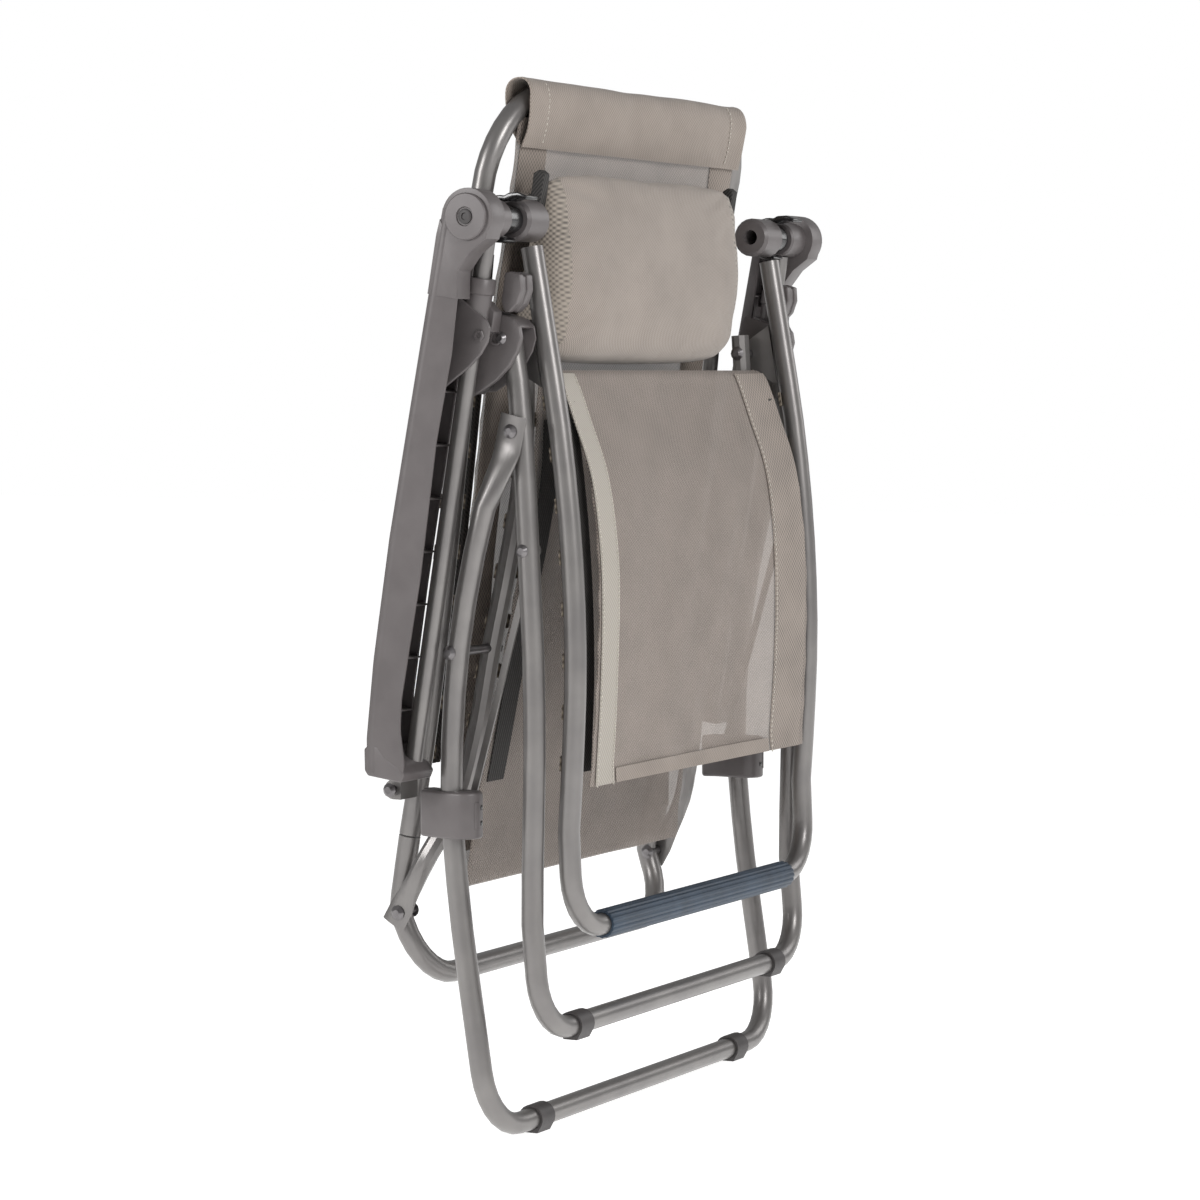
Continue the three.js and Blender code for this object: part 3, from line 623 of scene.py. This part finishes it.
def stitchItem():
    # one lock stitch: a short rounded bar along the seam
    verts, faces = [], []
    for z, r in ((-1.5, 0.2), (-1.1, 0.55), (1.1, 0.55), (1.5, 0.2)):
        verts += [(r * math.cos(a) / 1000, r * math.sin(a) / 1000, z / 1000)
                  for a in (math.pi / 3 * k for k in range(6))]
    for i in range(3):
        faces += [(i * 6 + k, i * 6 + (k + 1) % 6, i * 6 + 6 + (k + 1) % 6, i * 6 + 6 + k) for k in range(6)]
    faces += [(5, 4, 3, 2, 1, 0), tuple(range(18, 24))]
    return meshPiece("stitchShape", verts, faces, "sewingThread", smoothAngle=60)


def seamPath(line, x, s0, s1, options):
    centre, length = sampled(line, options["rows"])
    path = []
    for i, point in enumerate(centre):
        s = length * i / (options["rows"] - 1)
        if s0 <= s <= (length if s1 is None else s1):
            normal = normalAt(centre, i)
            lift = clothLift(x, s, halfAt(options, s / length), fadeAt(i, options["rows"]), options)
            lift += options["proud"] * options["away"]
            path.append(place(x, point.y + normal.y * lift, point.z + normal.z * lift))
    return path


legrestSpec = {"rows": 90, "half": (214, 225), "waves": 0.8, "seed": 1.0, "crown": 5.0}
backSpec = {"rows": 190, "half": (214, 222), "waves": 1.8, "seed": 3.0}
sleeveSpec = {"rows": 60, "half": (221, 221), "waves": 0.9, "seed": 4.0}
strips = {
    "legrestWeldedTape": (legrestLine, -216, -180, 8, None, "weldedHemTape", {**legrestSpec, "proud": 1.5}),
    "legrestEdgeMesh": (legrestLine, 150, 214, 8, None, "coarseEdgeMesh", {**legrestSpec, "proud": 1.2}),
    "legrestBottomHem": (legrestLine, -176, 146, 370, None, "doubledHemMesh", {**legrestSpec, "columns": 60}),
    "backEdgeMesh_left": (backLine, -216, -168, 30, 712, "coarseEdgeMesh", {**backSpec, "proud": 1.5}),
    "backEdgeMesh_right": (backLine, 168, 216, 30, 712, "coarseEdgeMesh", {**backSpec, "proud": 1.5}),
}
stripPieces = {}
for stripName, (line, x0, x1, s0, s1, finish, options) in strips.items():
    sign = 1 if stripName.startswith("legrest") else -1  # the legrest's line runs down, the back's runs up
    stripPieces[stripName] = clothStrip(stripName, line, x0, x1, s0, s1, finish, {**options, "face": sign})
seams = {
    "legrestSeamOuter": (legrestLine, -213.5, 10, None, {**legrestSpec, "proud": 2.3, "away": -1}),
    "legrestSeamInner": (legrestLine, -182.5, 10, None, {**legrestSpec, "proud": 2.3, "away": -1}),
    "legrestSeamRight": (legrestLine, 153, 10, None, {**legrestSpec, "proud": 2.0, "away": -1}),
    "headSeam_left": (sleeveLine, -186, 5, 60, {**sleeveSpec, "proud": 0.9, "away": 1}),
    "headSeam_right": (sleeveLine, 186, 5, 60, {**sleeveSpec, "proud": 0.9, "away": 1}),
}
stitchSpacing = 0.0048
stitch = stitchItem()
for seamName, (line, x, s0, s1, options) in seams.items():
    path = seamPath(line, x, s0, s1, options)
    stripPieces[seamName] = repeated(seamName, path, stitch, stitchSpacing, "sewingThread")
bpy.data.objects.remove(stitch)
for stripName, piece in stripPieces.items():
    if stripName.startswith("legrest"):
        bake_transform(piece)
    else:
        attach(piece, "back_frame")
print("hems and seams made")

# lacing loops of woven tape, from the cloth's edge round the tube
lacing = {"tapeWidth": 13.0, "tapeThickness": 1.6}


def tabLoop(name, reach, radius, side):
    half = lacing["tapeWidth"] / 2
    thick = lacing["tapeThickness"]
    outline = [(reach, 3.0), (reach * 0.8, 4.6)] + arc((0, 0), radius, 40, 125, 8)
    inner = [(x * (radius - thick) / radius, y * (radius - thick) / radius) for x, y in outline]
    inner[:2] = [(reach, 0.6), (reach * 0.8, 1.8)]
    ring = [(side * -x, y) for x, y in outline + inner[::-1]]
    count, total = len(outline), 2 * len(outline)
    verts = [(x / 1000, y / 1000, z / 1000) for z in (-half, half) for x, y in ring]
    faces = [(i, (i + 1) % total, total + (i + 1) % total, total + i) for i in range(total)]
    for i in range(count - 1):
        a, b, c, d = i, i + 1, total - 2 - i, total - 1 - i
        faces.append((d, c, b, a))
        faces.append((total + a, total + b, total + c, total + d))
    piece = meshPiece(name, verts, faces, "wovenTape")
    fixNormals(piece)
    return piece


def ringPath(profile, x, z0, z1, count=40):
    points = [p for p in catmull([(x, y, z) for y, z in profile], 16) if z0 <= p.z <= z1]
    points.sort(key=lambda p: p.z)
    even, _ = evenly(points, count)
    return [place(p.x, p.y, p.z) for p in even]


tubeProfiles = {
    "legrest": [[101, 790], [88, 717], [72, 622], [61, 520], [57, 420], [60, 330], [64, 262]],
    "back": [[229, 258], [218, 317], [207, 385], [189, 520], [169, 690], [154, 838]],
    "seat": [[123, 716], [120, 660], [124, 580], [137, 510], [155, 430], [171, 350], [184, 290]],
}
lacingRuns = {
    "legrestLacing": {"profile": "legrest", "x": 245, "from": 330, "to": 655, "radius": 11.8, "reach": 22,
                      "body": "legrest_frame", "elastic": (202, 224), "bandShift": 4.5, "ribs": 3},
    "seatLacing": {"profile": "seat", "x": 224, "from": 315, "to": 640, "radius": 10.8, "reach": 26,
                   "body": "seat_frame", "elastic": (172, 202), "bandShift": -8.0, "ribs": 5},
    "backLacing": {"profile": "back", "x": 245, "from": 330, "to": 800, "radius": 11.8, "reach": 25,
                   "body": "back_frame", "elastic": (203, 226), "bandShift": 4.5, "ribs": 3},
}
lacingPieces = {}
for runName, run in lacingRuns.items():
    for side in (-1, 1):
        loop = tabLoop("tabShape", run["reach"], run["radius"], side)
        path = ringPath(tubeProfiles[run["profile"]], side * run["x"], run["from"], run["to"])
        piece = repeated(f"{runName}_{sideNames[side]}", path, loop, sling["tabSpacing"] / 1000, "wovenTape")
        bpy.data.objects.remove(loop)
        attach(piece, run["body"])
        lacingPieces.setdefault(runName, []).append(piece)
        # a dark ribbed band along the tube under the loops: painted shade standing in for the shadowed gap
        # between cloth and tube
        edges = sorted((side * run["elastic"][0], side * run["elastic"][1]))
        low, high = run["from"] - 12, run["to"]
        curve = catmull([(0, y, z) for y, z in tubeProfiles[run["profile"]]], 16)
        path = [(p.y, p.z) for p in curve if low <= p.z <= high]
        path = [(y + run["bandShift"], z) for y, z in path[::10] + path[-1:]]
        bandSpec = {"rows": 70, "half": (300, 300), "waves": 0.0, "seed": 0.0, "columns": run["ribs"] * 4,
                    "ribs": run["ribs"], "proud": -0.5, "thick": 0.8}
        band = clothStrip(f"{runName}Elastic_{sideNames[side]}", path, edges[0], edges[1], 0, None,
                          "paintedShadeBand", bandSpec)
        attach(band, run["body"])
        lacingPieces[runName].append(band)
print("lacing made")

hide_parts("sling_legrest")
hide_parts("sling_seat")
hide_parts("sling_back")
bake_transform(legrestSling)
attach(seatFrontSling, "seat_frame")
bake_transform(seatRearSling)
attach(backSling, "back_frame")
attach(headSleeve, "back_frame")

# headrest pillow
pillow = {"halfLength": 189.5, "shift": -29.0, "rows": 64, "ring": 56,
          "gusset": 168.0, "front": 75.0, "back": 141.0, "low": 685.0, "high": 863.0,
          "lean": 0.17 * 1.7, "squareness": 0.62, "endDepth": 0.34, "endHeight": 0.80}


def pillowRing(share):
    ends = max(0.0, 1 - abs(share) ** 7) ** 0.5
    tall = pillow["endHeight"] + 0.20 * max(0.0, 1 - abs(share) ** 5) ** 0.5
    points = []
    midZ = (pillow["low"] + pillow["high"]) / 2
    halfZ = (pillow["high"] - pillow["low"]) / 2 * tall
    for k in range(pillow["ring"]):
        a = 2 * math.pi * k / pillow["ring"]
        c, s = math.cos(a), math.sin(a)
        power = pillow["squareness"]
        cy = math.copysign(abs(c) ** power, c)
        cz = math.copysign(abs(s) ** power, s)
        z = midZ + halfZ * cz
        rise = (z - midZ) / halfZ
        backY = pillow["back"] - pillow["lean"] * (z - midZ) - 5
        frontY = pillow["front"] + 6 * max(0.0, rise) + 3 * rise * rise
        middle = (backY + frontY) / 2 + 4
        depth = (backY - frontY) / 2 * (pillow["endDepth"] + 0.66 * ends)
        points.append((middle + depth * cy, z))
    return points


def makePillow():
    verts, faces = [], []
    rows, ring = pillow["rows"], pillow["ring"]
    for i in range(rows + 1):
        share = -1 + 2 * i / rows
        share = math.copysign(1 - (1 - abs(share)) ** 1.35, share)
        x = pillow["shift"] + share * pillow["halfLength"]
        for k, (y, z) in enumerate(pillowRing(share)):
            pucker = 1.3 * math.sin(k * 2 * math.pi / ring * 9 + 1.3) * max(0.0, abs(share) - 0.72) / 0.28
            wave = ripple(x, z, 1.1, 5.0)
            verts.append(place(x, y + wave + pucker, z + 0.5 * pucker))
    for i in range(rows):
        for k in range(ring):
            n = (k + 1) % ring
            faces.append((i * ring + k, i * ring + n, (i + 1) * ring + n, (i + 1) * ring + k))
    for row, sign in ((0, -1), (rows, 1)):
        hub = len(verts)
        centre = sum((Vector(v) for v in verts[row * ring:(row + 1) * ring]), Vector()) / ring
        verts.append(centre + Vector((sign * 0.004, 0, 0)))
        for k in range(ring):
            n = (k + 1) % ring
            faces.append((row * ring + k, hub, row * ring + n))
    piece = meshPiece("headrestPillow", verts, faces, "pillowMesh", smoothAngle=70)
    piece.data.materials.append(materials["openGussetMesh"])
    for face in piece.data.polygons:
        if abs(face.center.x * 1000 - pillow["shift"]) > pillow["gusset"]:
            face.material_index = 1
    fixNormals(piece)
    return piece


inflation = {"voxel": 0.005, "shrink": 0.003, "pressure": 4.0, "mass": 0.3, "frames": 20, "cap": 0.007,
             "seam": 0.0035}


# the filling swells against the cover, which is held along the two end seams
def inflated(piece):
    remesh = piece.modifiers.new("remesh", "REMESH")
    remesh.mode = "VOXEL"
    remesh.voxel_size = inflation["voxel"]
    start = evaluatedMesh(piece)
    piece.modifiers.clear()
    start.materials.clear()
    for finish in ("pillowMesh", "openGussetMesh"):
        start.materials.append(materials[finish])
    piece.data = start
    seams = [(pillow["shift"] + side * pillow["gusset"]) / 1000 for side in (-1, 1)]
    held = [v.index for v in start.vertices if min(abs(v.co.x - x) for x in seams) < inflation["seam"]]
    for v in start.vertices:
        v.co -= v.normal * inflation["shrink"]
    first = [v.co.copy() for v in start.vertices]
    group = piece.vertex_groups.new(name="seam")
    group.add(held, 1.0, "REPLACE")
    cloth = piece.modifiers.new("inflate", "CLOTH")
    cloth.settings.vertex_group_mass = "seam"
    cloth.settings.use_pressure = True
    cloth.settings.uniform_pressure_force = inflation["pressure"]
    cloth.settings.effector_weights.gravity = 0.0
    cloth.settings.mass = inflation["mass"]
    for step in range(1, inflation["frames"] + 1):
        bpy.context.scene.frame_set(step)
    moved = evaluatedMesh(piece)
    piece.modifiers.clear()
    for v, begin in zip(moved.vertices, first):
        travel = v.co - begin
        if travel.length > inflation["cap"]:
            v.co = begin + travel.normalized() * inflation["cap"]
    piece.vertex_groups.clear()
    piece.data = moved
    bpy.context.scene.frame_set(1)
    finer = piece.modifiers.new("finer", "SUBSURF")
    finer.levels = finer.render_levels = 1
    done = evaluatedMesh(piece)
    piece.modifiers.clear()
    piece.data = done
    for face in done.polygons:
        face.material_index = int(abs(face.center.x * 1000 - pillow["shift"]) > pillow["gusset"])
    done.shade_smooth()
    return piece


headPillow = inflated(makePillow())
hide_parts("headrest_pillow")
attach(headPillow, "headrest")

# dark strap behind each end of the pillow: partly a strap, partly painted shade for the gap between pillow
# and back sling
straps = {"outline": [(99, 856), (104, 860), (110, 857), (116, 814), (112, 806), (106, 812)],
          "inner": 186, "outer": 197, "bevel": 0.8}
for side in (-1, 1):
    inner, outer = (side * straps[edge] + pillow["shift"] for edge in ("inner", "outer"))
    strap = moulded(f"pillowStrap_{sideNames[side]}", straps["outline"], inner, outer, "paintedShadeBand",
                    place, straps["bevel"])
    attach(strap, "headrest")
print("pillow made")

# foot grip: a ribbed sleeve on the legrest's crossbar
grip = {"half": 192.0, "radius": 12.4, "rib": 1.0, "ribs": 16, "bore": 10.4, "y": 59.0, "z": 180.0}


def makeGrip():
    verts, faces = [], []
    y0, z0 = grip["y"], grip["z"]
    count = grip["ribs"] * 6
    stations = [(-1, -1.6), (-1, -0.4), (-0.994, 0.0)] + [(k / 20 - 0.95, 0.0) for k in range(1, 38)] + \
               [(0.994, 0.0), (1, -0.4), (1, -1.6)]
    for share, inset in stations:
        for k in range(count):
            a = 2 * math.pi * k / count
            r = grip["radius"] + inset + grip["rib"] * (0.5 + 0.5 * math.cos(a * grip["ribs"])) ** 0.5
            verts.append(place(share * grip["half"], y0 + r * math.cos(a), z0 + r * math.sin(a)))
    rings = len(stations)
    for share in (1, -1):
        for k in range(count):
            a = 2 * math.pi * k / count
            y, z = y0 + grip["bore"] * math.cos(a), z0 + grip["bore"] * math.sin(a)
            verts.append(place(share * grip["half"], y, z))
    total = rings + 2
    for i in range(total):
        m = (i + 1) % total
        for k in range(count):
            n = (k + 1) % count
            faces.append((i * count + k, i * count + n, m * count + n, m * count + k))
    piece = meshPiece("ribbedFootGrip", verts, faces, "extrudedVinyl", smoothAngle=50)
    fixNormals(piece)
    return piece


footGrip = makeGrip()
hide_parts("foot_grip")
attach(footGrip, "legrest_frame")
print("grip made")

# armrests
armrest = {"inner": 288.0, "outer": 342.0, "wall": 3.0, "corner": 5.0, "lip": 9.0, "stations": 90,
           "top": 4, "length": 503}
armBack = [[27, 4], [28, -20], [29, -60], [32, -170], [35, -290], [34, -400], [30, -470], [25, -499]]
armRim = [[18, 4], [18, -20], [16, -100], [17, -200], [18, -330], [17, -430], [12, -474], [-11, -499]]
armOuterRim = [[9, 4], [6, -24], [-1, -70], [-3, -120], [0, -200], [-3, -320], [-1, -429], [-4, -456],
               [-13, -485], [-13, -499]]


def armrestShell(side):
    count = armrest["stations"]
    heights = [armrest["top"] - armrest["length"] * i / (count - 1) for i in range(count)]

    def follow(line, z):
        for (y0, z0), (y1, z1) in zip(line, line[1:]):
            if z1 <= z <= z0:
                t = (z0 - z) / (z0 - z1)
                return y0 + (y1 - y0) * t
        return line[-1][0]

    xi, xo, w, c = armrest["inner"], armrest["outer"], armrest["wall"], armrest["corner"]
    lip = armrest["lip"]
    verts, faces = [], []
    for z in heights:
        y1 = follow(armBack, z)
        y0 = min(follow(armOuterRim, z), y1 - 14)
        yi = min(follow(armRim, z), y1 - 10)
        ring = [(xo - 1.6, y0), (xo - 0.8, y0 + 1.2), (xo - 0.8, y1 - lip - 1.6), (xo, y1 - lip),
                (xo, y1 - c), (xo - c * 0.29, y1 - c * 0.29), (xo - c, y1), (xi + c, y1),
                (xi + c * 0.29, y1 - c * 0.29), (xi, y1 - c), (xi, yi), (xi + w, yi), (xi + w, y1 - c),
                (xi + c, y1 - w - 1), (xo - c, y1 - w - 1), (xo - w, y1 - c), (xo - w, y0)]
        for x, y in ring:
            verts.append(armPlace(side * x, y, z))
    n = len(ring)
    for i in range(count - 1):
        for k in range(n):
            m = (k + 1) % n
            faces.append((i * n + k, i * n + m, (i + 1) * n + m, (i + 1) * n + k))
    caps = [(0, 1, 2, 3, 4, 15, 16), (4, 5, 6, 14, 15), (6, 7, 13, 14), (7, 8, 9, 12, 13), (9, 10, 11, 12)]
    base = (count - 1) * n
    for group in caps:
        faces.append(tuple(group))
        faces.append(tuple(base + g for g in group[::-1]))
    piece = meshPiece("armShell", verts, faces, "mouldedNylon", smoothAngle=45)
    fixNormals(piece)
    return piece


# flat mouldings of the armrest and the lock: an outline in the armrest's own y and z, and x from and to
tabOutline = [(-14.5, -46), (-20, -43.5), (-30, -45), (-33, -58), (-30.5, -71)]
tabOutline += arc((-22, -75), 4.6, 200, 340, 8) + [(-15, -71)]
finOutline = [(8, -80), (-4, -82), (-17, -83), (-28, -84.5), (-35, -90), (-38.5, -100), (-37, -112),
              (-31, -126), (-20, -141), (-6, -153), (10, -164), (20, -170), (16, -158), (12, -140),
              (11, -110), (11, -86)]
plates = {
    "armHead": {"x": (318, 341.6), "bevel": 2.2, "outline": arc((0, 0), 25, -35, 205, 24) + [
        (-22, -16), (-8, -30), (2, -48), (-1, -72), (28.5, -72), (28, -20), (26.5, -6)]},
    "armFoot": {"x": (289, 341.5), "bevel": 1.6, "outline": [
        (-13, -502), (-15, -494), (-8, -488), (6, -484), (14, -476), (24, -474), (29.5, -480), (26, -499),
        (22, -503)]},
    "armEar": {"x": (285.2, 291), "bevel": 0.8, "outline": [
        (6, -476), (28, -476)] + arc((12.9, -486.5), 11, 0, -180, 12)},
    "clawHook": {"x": (265, 286), "bevel": 1.2, "finish": "polishedAcetal", "outline": (
        arc((0, 0), 21, -120, 95, 20)
        + [(-6, 24), (-16, 26), (-25, 24), (-25, 20.5), (-15, 21), (-8, 17.5)]
        + arc((0, 0), 16.5, 100, -115, 18))},
    "lockWeb": {"x": (285.6, 300), "bevel": 1.0, "outline": [(-6, -72), (-17, -80), (-17, -98), (-6, -104)]},
    "lockShroud": {"x": (309.6, 313.6), "bevel": 1.4, "outline": [
        (15, -72), (4, -76), (-8, -83), (-17, -87), (-22, -94), (-22, -106), (-17, -118), (-8, -130),
        (2, -140), (12, -150), (18, -156), (19, -148), (17, -120)]},
    "tabOuter": {"x": (280, 287), "bevel": 1.2, "outline": tabOutline},
    "tabInner": {"x": (264, 274), "bevel": 1.2, "outline": tabOutline},
    "tabBridge": {"x": (272, 282), "bevel": 0.5,
                  "outline": [(y * 0.86 - 3.2, z * 0.92 - 5.4) for y, z in tabOutline]},
    "finOuter": {"x": (278.6, 285), "bevel": 1.6, "outline": finOutline},
    "finInner": {"x": (255.4, 257.5), "bevel": 0.7, "outline": [(y, z) for y, z in finOutline if z > -160]},
    "finHood": {"x": (255.6, 284.6), "bevel": 0.9,
                "outline": arc((-19, -103), 20, 60, 142, 12) + arc((-19, -103), 17, 142, 60, 12)},
    "finSpine": {"x": (256, 284.5), "bevel": 1.0, "outline": [
        (-4, -86), (11, -86), (11.4, -150), (6, -158), (-3, -150), (-3.6, -120)]},
}
# round mouldings and screws: x and radius, turned about an axis along x
turnings = {
    "armBarrel": {"profile": [(289, 0.4), (289, 15), (291, 16.8), (318, 17.4), (319, 0.4)]},
    "armDisc": {"profile": [(341.4, 0.3), (341.4, 20.6), (344.4, 20.6), (345.4, 19.6), (345.6, 8.6),
                            (344.2, 7.8), (344.2, 0.3)]},
    "armScrew": {"sides": 24, "finish": "dullNylon", "profile": [
        (344.0, 0.3), (344.0, 6.8), (345.3, 6.6), (345.8, 5.6), (345.8, 3.3), (344.6, 3.0), (344.6, 0.3)]},
    "clawBush": {"finish": "polishedAcetal", "profile": [
        (262.5, 0.3), (262.5, 12), (266, 12.4), (286, 12.4), (288, 10), (288.4, 0.3)]},
    "shroudBolt": {"sides": 6, "centre": (-13, -102), "profile": [
        (313, 0.3), (313, 5.4), (314.6, 5.4), (315.2, 4.8), (315.2, 2.9), (313.9, 2.7), (313.9, 0.3)]},
    "finBoltFlange": {"sides": 32, "centre": (-14, -104), "profile": [
        (284, 0.3), (284, 6.6), (286, 6.4), (286.6, 5.8), (286.6, 4.4), (285.2, 4.2), (285.2, 0.3)]},
}
armRibs = {"count": 9, "first": -60, "spacing": 48, "thick": 1.6, "bevel": 0.3, "x": (290.5, 339.5),
           "y": (14, 27)}
collar = {"x": 301, "sides": 40, "profile": [(8.4, -53), (13.0, -53), (13.6, -54), (13.6, -66), (12.0, -67.5),
                                             (11.8, -104), (11.0, -106), (8.4, -106)]}


def plate(name, side):
    spec = plates[name]
    x0, x1 = (side * x for x in spec["x"])
    return moulded(name, spec["outline"], x0, x1, spec.get("finish", "mouldedNylon"), armPlace, spec["bevel"])


def turned(name, side, pieceName=None):
    spec = turnings[name]
    profile = [(side * x, r) for x, r in spec["profile"]]
    return lathe(pieceName or name, profile, spec.get("centre", (0, 0)), spec.get("finish", "mouldedNylon"),
                 armPlace, spec.get("sides", 48))


def armRib(k, side):
    z = armRibs["first"] - armRibs["spacing"] * k
    low, (y0, y1) = z - armRibs["thick"], armRibs["y"]
    x0, x1 = (side * x for x in armRibs["x"])
    strip = [(y0, z), (y1, z), (y1, low), (y0, low)]
    return moulded("armRib", strip, x0, x1, "mouldedNylon", armPlace, armRibs["bevel"], 1)


def lockCollar(side):
    verts, faces = [], []
    sides = collar["sides"]
    for r, z in collar["profile"]:
        for k in range(sides):
            a = 2 * math.pi * k / sides
            verts.append(armPlace(side * collar["x"] + r * math.cos(a), r * math.sin(a), z))
    count = len(collar["profile"])
    for i in range(count):
        m = (i + 1) % count
        for k in range(sides):
            n = (k + 1) % sides
            faces.append((i * sides + k, i * sides + n, m * sides + n, m * sides + k))
    piece = meshPiece("lockCollar", verts, faces, "mouldedNylon", smoothAngle=35)
    fixNormals(piece)
    return piece


for side in (-1, 1):
    name = sideNames[side]
    parts = [armrestShell(side), plate("armHead", side), turned("armBarrel", side), plate("armFoot", side),
             plate("armEar", side)]
    parts += [armRib(k, side) for k in range(armRibs["count"])]
    shell = join(f"armrestShell_{name}", parts)
    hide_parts(f"armrest_{name}")
    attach(shell, "armrests")

    cap = turned("armDisc", side, f"armDisc_{name}")
    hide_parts(f"armrest_disc_{name}")
    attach(cap, "armrests")
    screw = turned("armScrew", side, f"armScrew_{name}")
    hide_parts(f"armrest_screw_{name}")
    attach(screw, "armrests")

    # black acetal claw and bush between the armrest's head and the legrest's end fitting
    clawJoined = join(f"armClaw_{name}", [plate("clawHook", side), turned("clawBush", side)])
    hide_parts(f"arm_axle_{name}")
    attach(clawJoined, "legrest_frame")

    # lock sleeve: collar ring and body, the web to the fin, and the plate over them
    sleevePiece = join(f"lockSleeve_{name}", [lockCollar(side), plate("lockWeb", side),
                                              plate("lockShroud", side), turned("shroudBolt", side)])
    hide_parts(f"lock_sleeve_{name}")
    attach(sleevePiece, "armrests")

    # lever tab with a finger slot
    lever = join(f"lockLever_{name}", [plate(tab, side) for tab in ("tabOuter", "tabInner", "tabBridge")])
    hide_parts(f"lock_lever_{name}")
    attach(lever, f"lock_lever_{name}")

    # fin-shaped housing, open in front round the top of the front leg
    fin = [plate(shape, side) for shape in ("finOuter", "finInner", "finHood", "finSpine")]
    housing = join(f"lockHousing_{name}", fin + [turned("finBoltFlange", side)])
    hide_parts(f"lock_housing_{name}")
    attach(housing, "lock_housings")
print("armrests and locks made")

# storage clip: a smooth band round the rear leg, with a latch line and two slots in its front, drawn as thin
# black plates of painted shade
clip = {"low": 264.0, "high": 306.0, "ring": 15.2, "legY": 158.5, "slot": 4.4, "bevel": 2.6}
for side in (-1, 1):
    def upright(along, x, y, side=side):
        return place(side * x, y, along)

    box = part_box(f"storage_clip_{sideNames[side]}")
    outerX = max(abs(box[0][0]), abs(box[1][0])) * 1000
    legX, ring, legY = outerX - clip["ring"], clip["ring"], clip["legY"]
    outline = [(legX + ring, legY + 4)] + arc((legX, legY - 14), ring, 0, -180, 20)
    outline += [(legX - ring, legY + 18), (legX - ring - 4, legY + 29), (legX - 9, legY + 35),
                (legX + 7, legY + 29)]
    band = moulded("clipBand", outline, clip["low"], clip["high"], "mouldedNylon", upright, clip["bevel"])
    hub = (legX, legY - 14)
    lipRing = arc(hub, ring + 0.7, -62, -84, 6) + arc(hub, ring - 1.5, -84, -62, 6)
    latch = moulded("clipLatch", lipRing, clip["low"] + 9, clip["high"] - 9, "mouldedNylon", upright, 0.6)
    clipPiece = join(f"storageClip_{sideNames[side]}", [band, latch])
    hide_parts(f"storage_clip_{sideNames[side]}")
    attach(clipPiece, "rear_leg_frame")
    # the two slots are thin black plates: painted shade inside the openings
    slots = []
    for height in (clip["low"] + 14, clip["high"] - 14):
        dark = arc(hub, ring + 0.5, -90, -104, 4) + arc(hub, ring - 1, -104, -90, 4)
        slots.append(moulded("clipSlot", dark, height - clip["slot"] / 2, height + clip["slot"] / 2,
                             "polishedAcetal", upright, 0.3, 1))
    slotPiece = join(f"storageClipSlots_{sideNames[side]}", slots)
    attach(slotPiece, "rear_leg_frame")
print("storage clips made")

# stage, light and camera
stage = {"floorSize": 14.0, "floor": "#fafaf9", "floorGlow": 0.72, "world": "#ffffff", "worldStrength": 0.34}
camera = {"azimuth": -61.93, "elevation": 3.45, "distance": 3.6, "target": (0.0, 0.0155, 0.474),
          "lens": 112.5}


def makeStage():
    material, tree, shader = newMaterial("paperBackdrop")
    coords = addNode(tree, "ShaderNodeTexCoord").outputs["Object"]
    colour = mottled(tree, coords, 1.5, stage["floor"], "#f7f7f6")
    tree.links.new(colour, shader.inputs["Base Color"])
    shader.inputs["Roughness"].default_value = 0.9
    shader.inputs["Emission Color"].default_value = linear("#ffffff")
    shader.inputs["Emission Strength"].default_value = stage["floorGlow"]
    mesh = bpy.data.meshes.new("studioFloor")
    s = stage["floorSize"]
    mesh.from_pydata([(-s, -s, 0), (s, -s, 0), (s, s, 0), (-s, s, 0)], [], [(0, 1, 2, 3)])
    mesh.materials.append(material)
    floor = linked("studioFloor", mesh)
    world = bpy.data.worlds.new("softStudio")
    world.use_nodes = True
    tree = world.node_tree
    background = tree.nodes["Background"]
    background.inputs["Color"].default_value = linear(stage["world"])
    background.inputs["Strength"].default_value = 1.0
    dim = addNode(tree, "ShaderNodeBackground", None,
                  {"Color": linear(stage["world"]), "Strength": stage["worldStrength"]})
    seen = addNode(tree, "ShaderNodeLightPath").outputs["Is Camera Ray"]
    both = addNode(tree, "ShaderNodeMixShader", None,
                   {0: seen, 1: dim.outputs["Background"], 2: background.outputs["Background"]})
    tree.links.new(both.outputs["Shader"], tree.nodes["World Output"].inputs["Surface"])
    bpy.context.scene.world = world
    bpy.context.scene.view_settings.view_transform = "Standard"


lights = {
    "keyPanel": {"place": (-1.0, -2.3, 1.7), "size": 0.8, "power": 30},
    "rimPanel": {"place": (-2.4, 1.2, 1.4), "size": 0.7, "power": 26},
    "fillPanel": {"place": (2.0, -1.4, 1.5), "size": 1.2, "power": 12},
}


def makeLights():
    for name, spec in lights.items():
        data = bpy.data.lights.new(name, "AREA")
        data.shape = "SQUARE"
        data.size = spec["size"]
        data.energy = spec["power"]
        light = linked(name, data)
        light.location = spec["place"]
        aim = Vector(camera["target"]) - Vector(spec["place"])
        light.rotation_euler = aim.to_track_quat("-Z", "Y").to_euler()


def makeCamera():
    a, e = math.radians(camera["azimuth"]), math.radians(camera["elevation"])
    away = Vector((math.sin(a) * math.cos(e), -math.cos(a) * math.cos(e), math.sin(e)))
    data = bpy.data.cameras.new("viewCamera")
    data.sensor_width = 36.0
    data.lens = camera["lens"]
    view = linked("viewCamera", data)
    view.location = Vector(camera["target"]) + away * camera["distance"]
    view.rotation_euler = (-away).to_track_quat("-Z", "Y").to_euler()
    bpy.context.scene.camera = view


makeStage()
makeLights()
makeCamera()
print("stage ready")
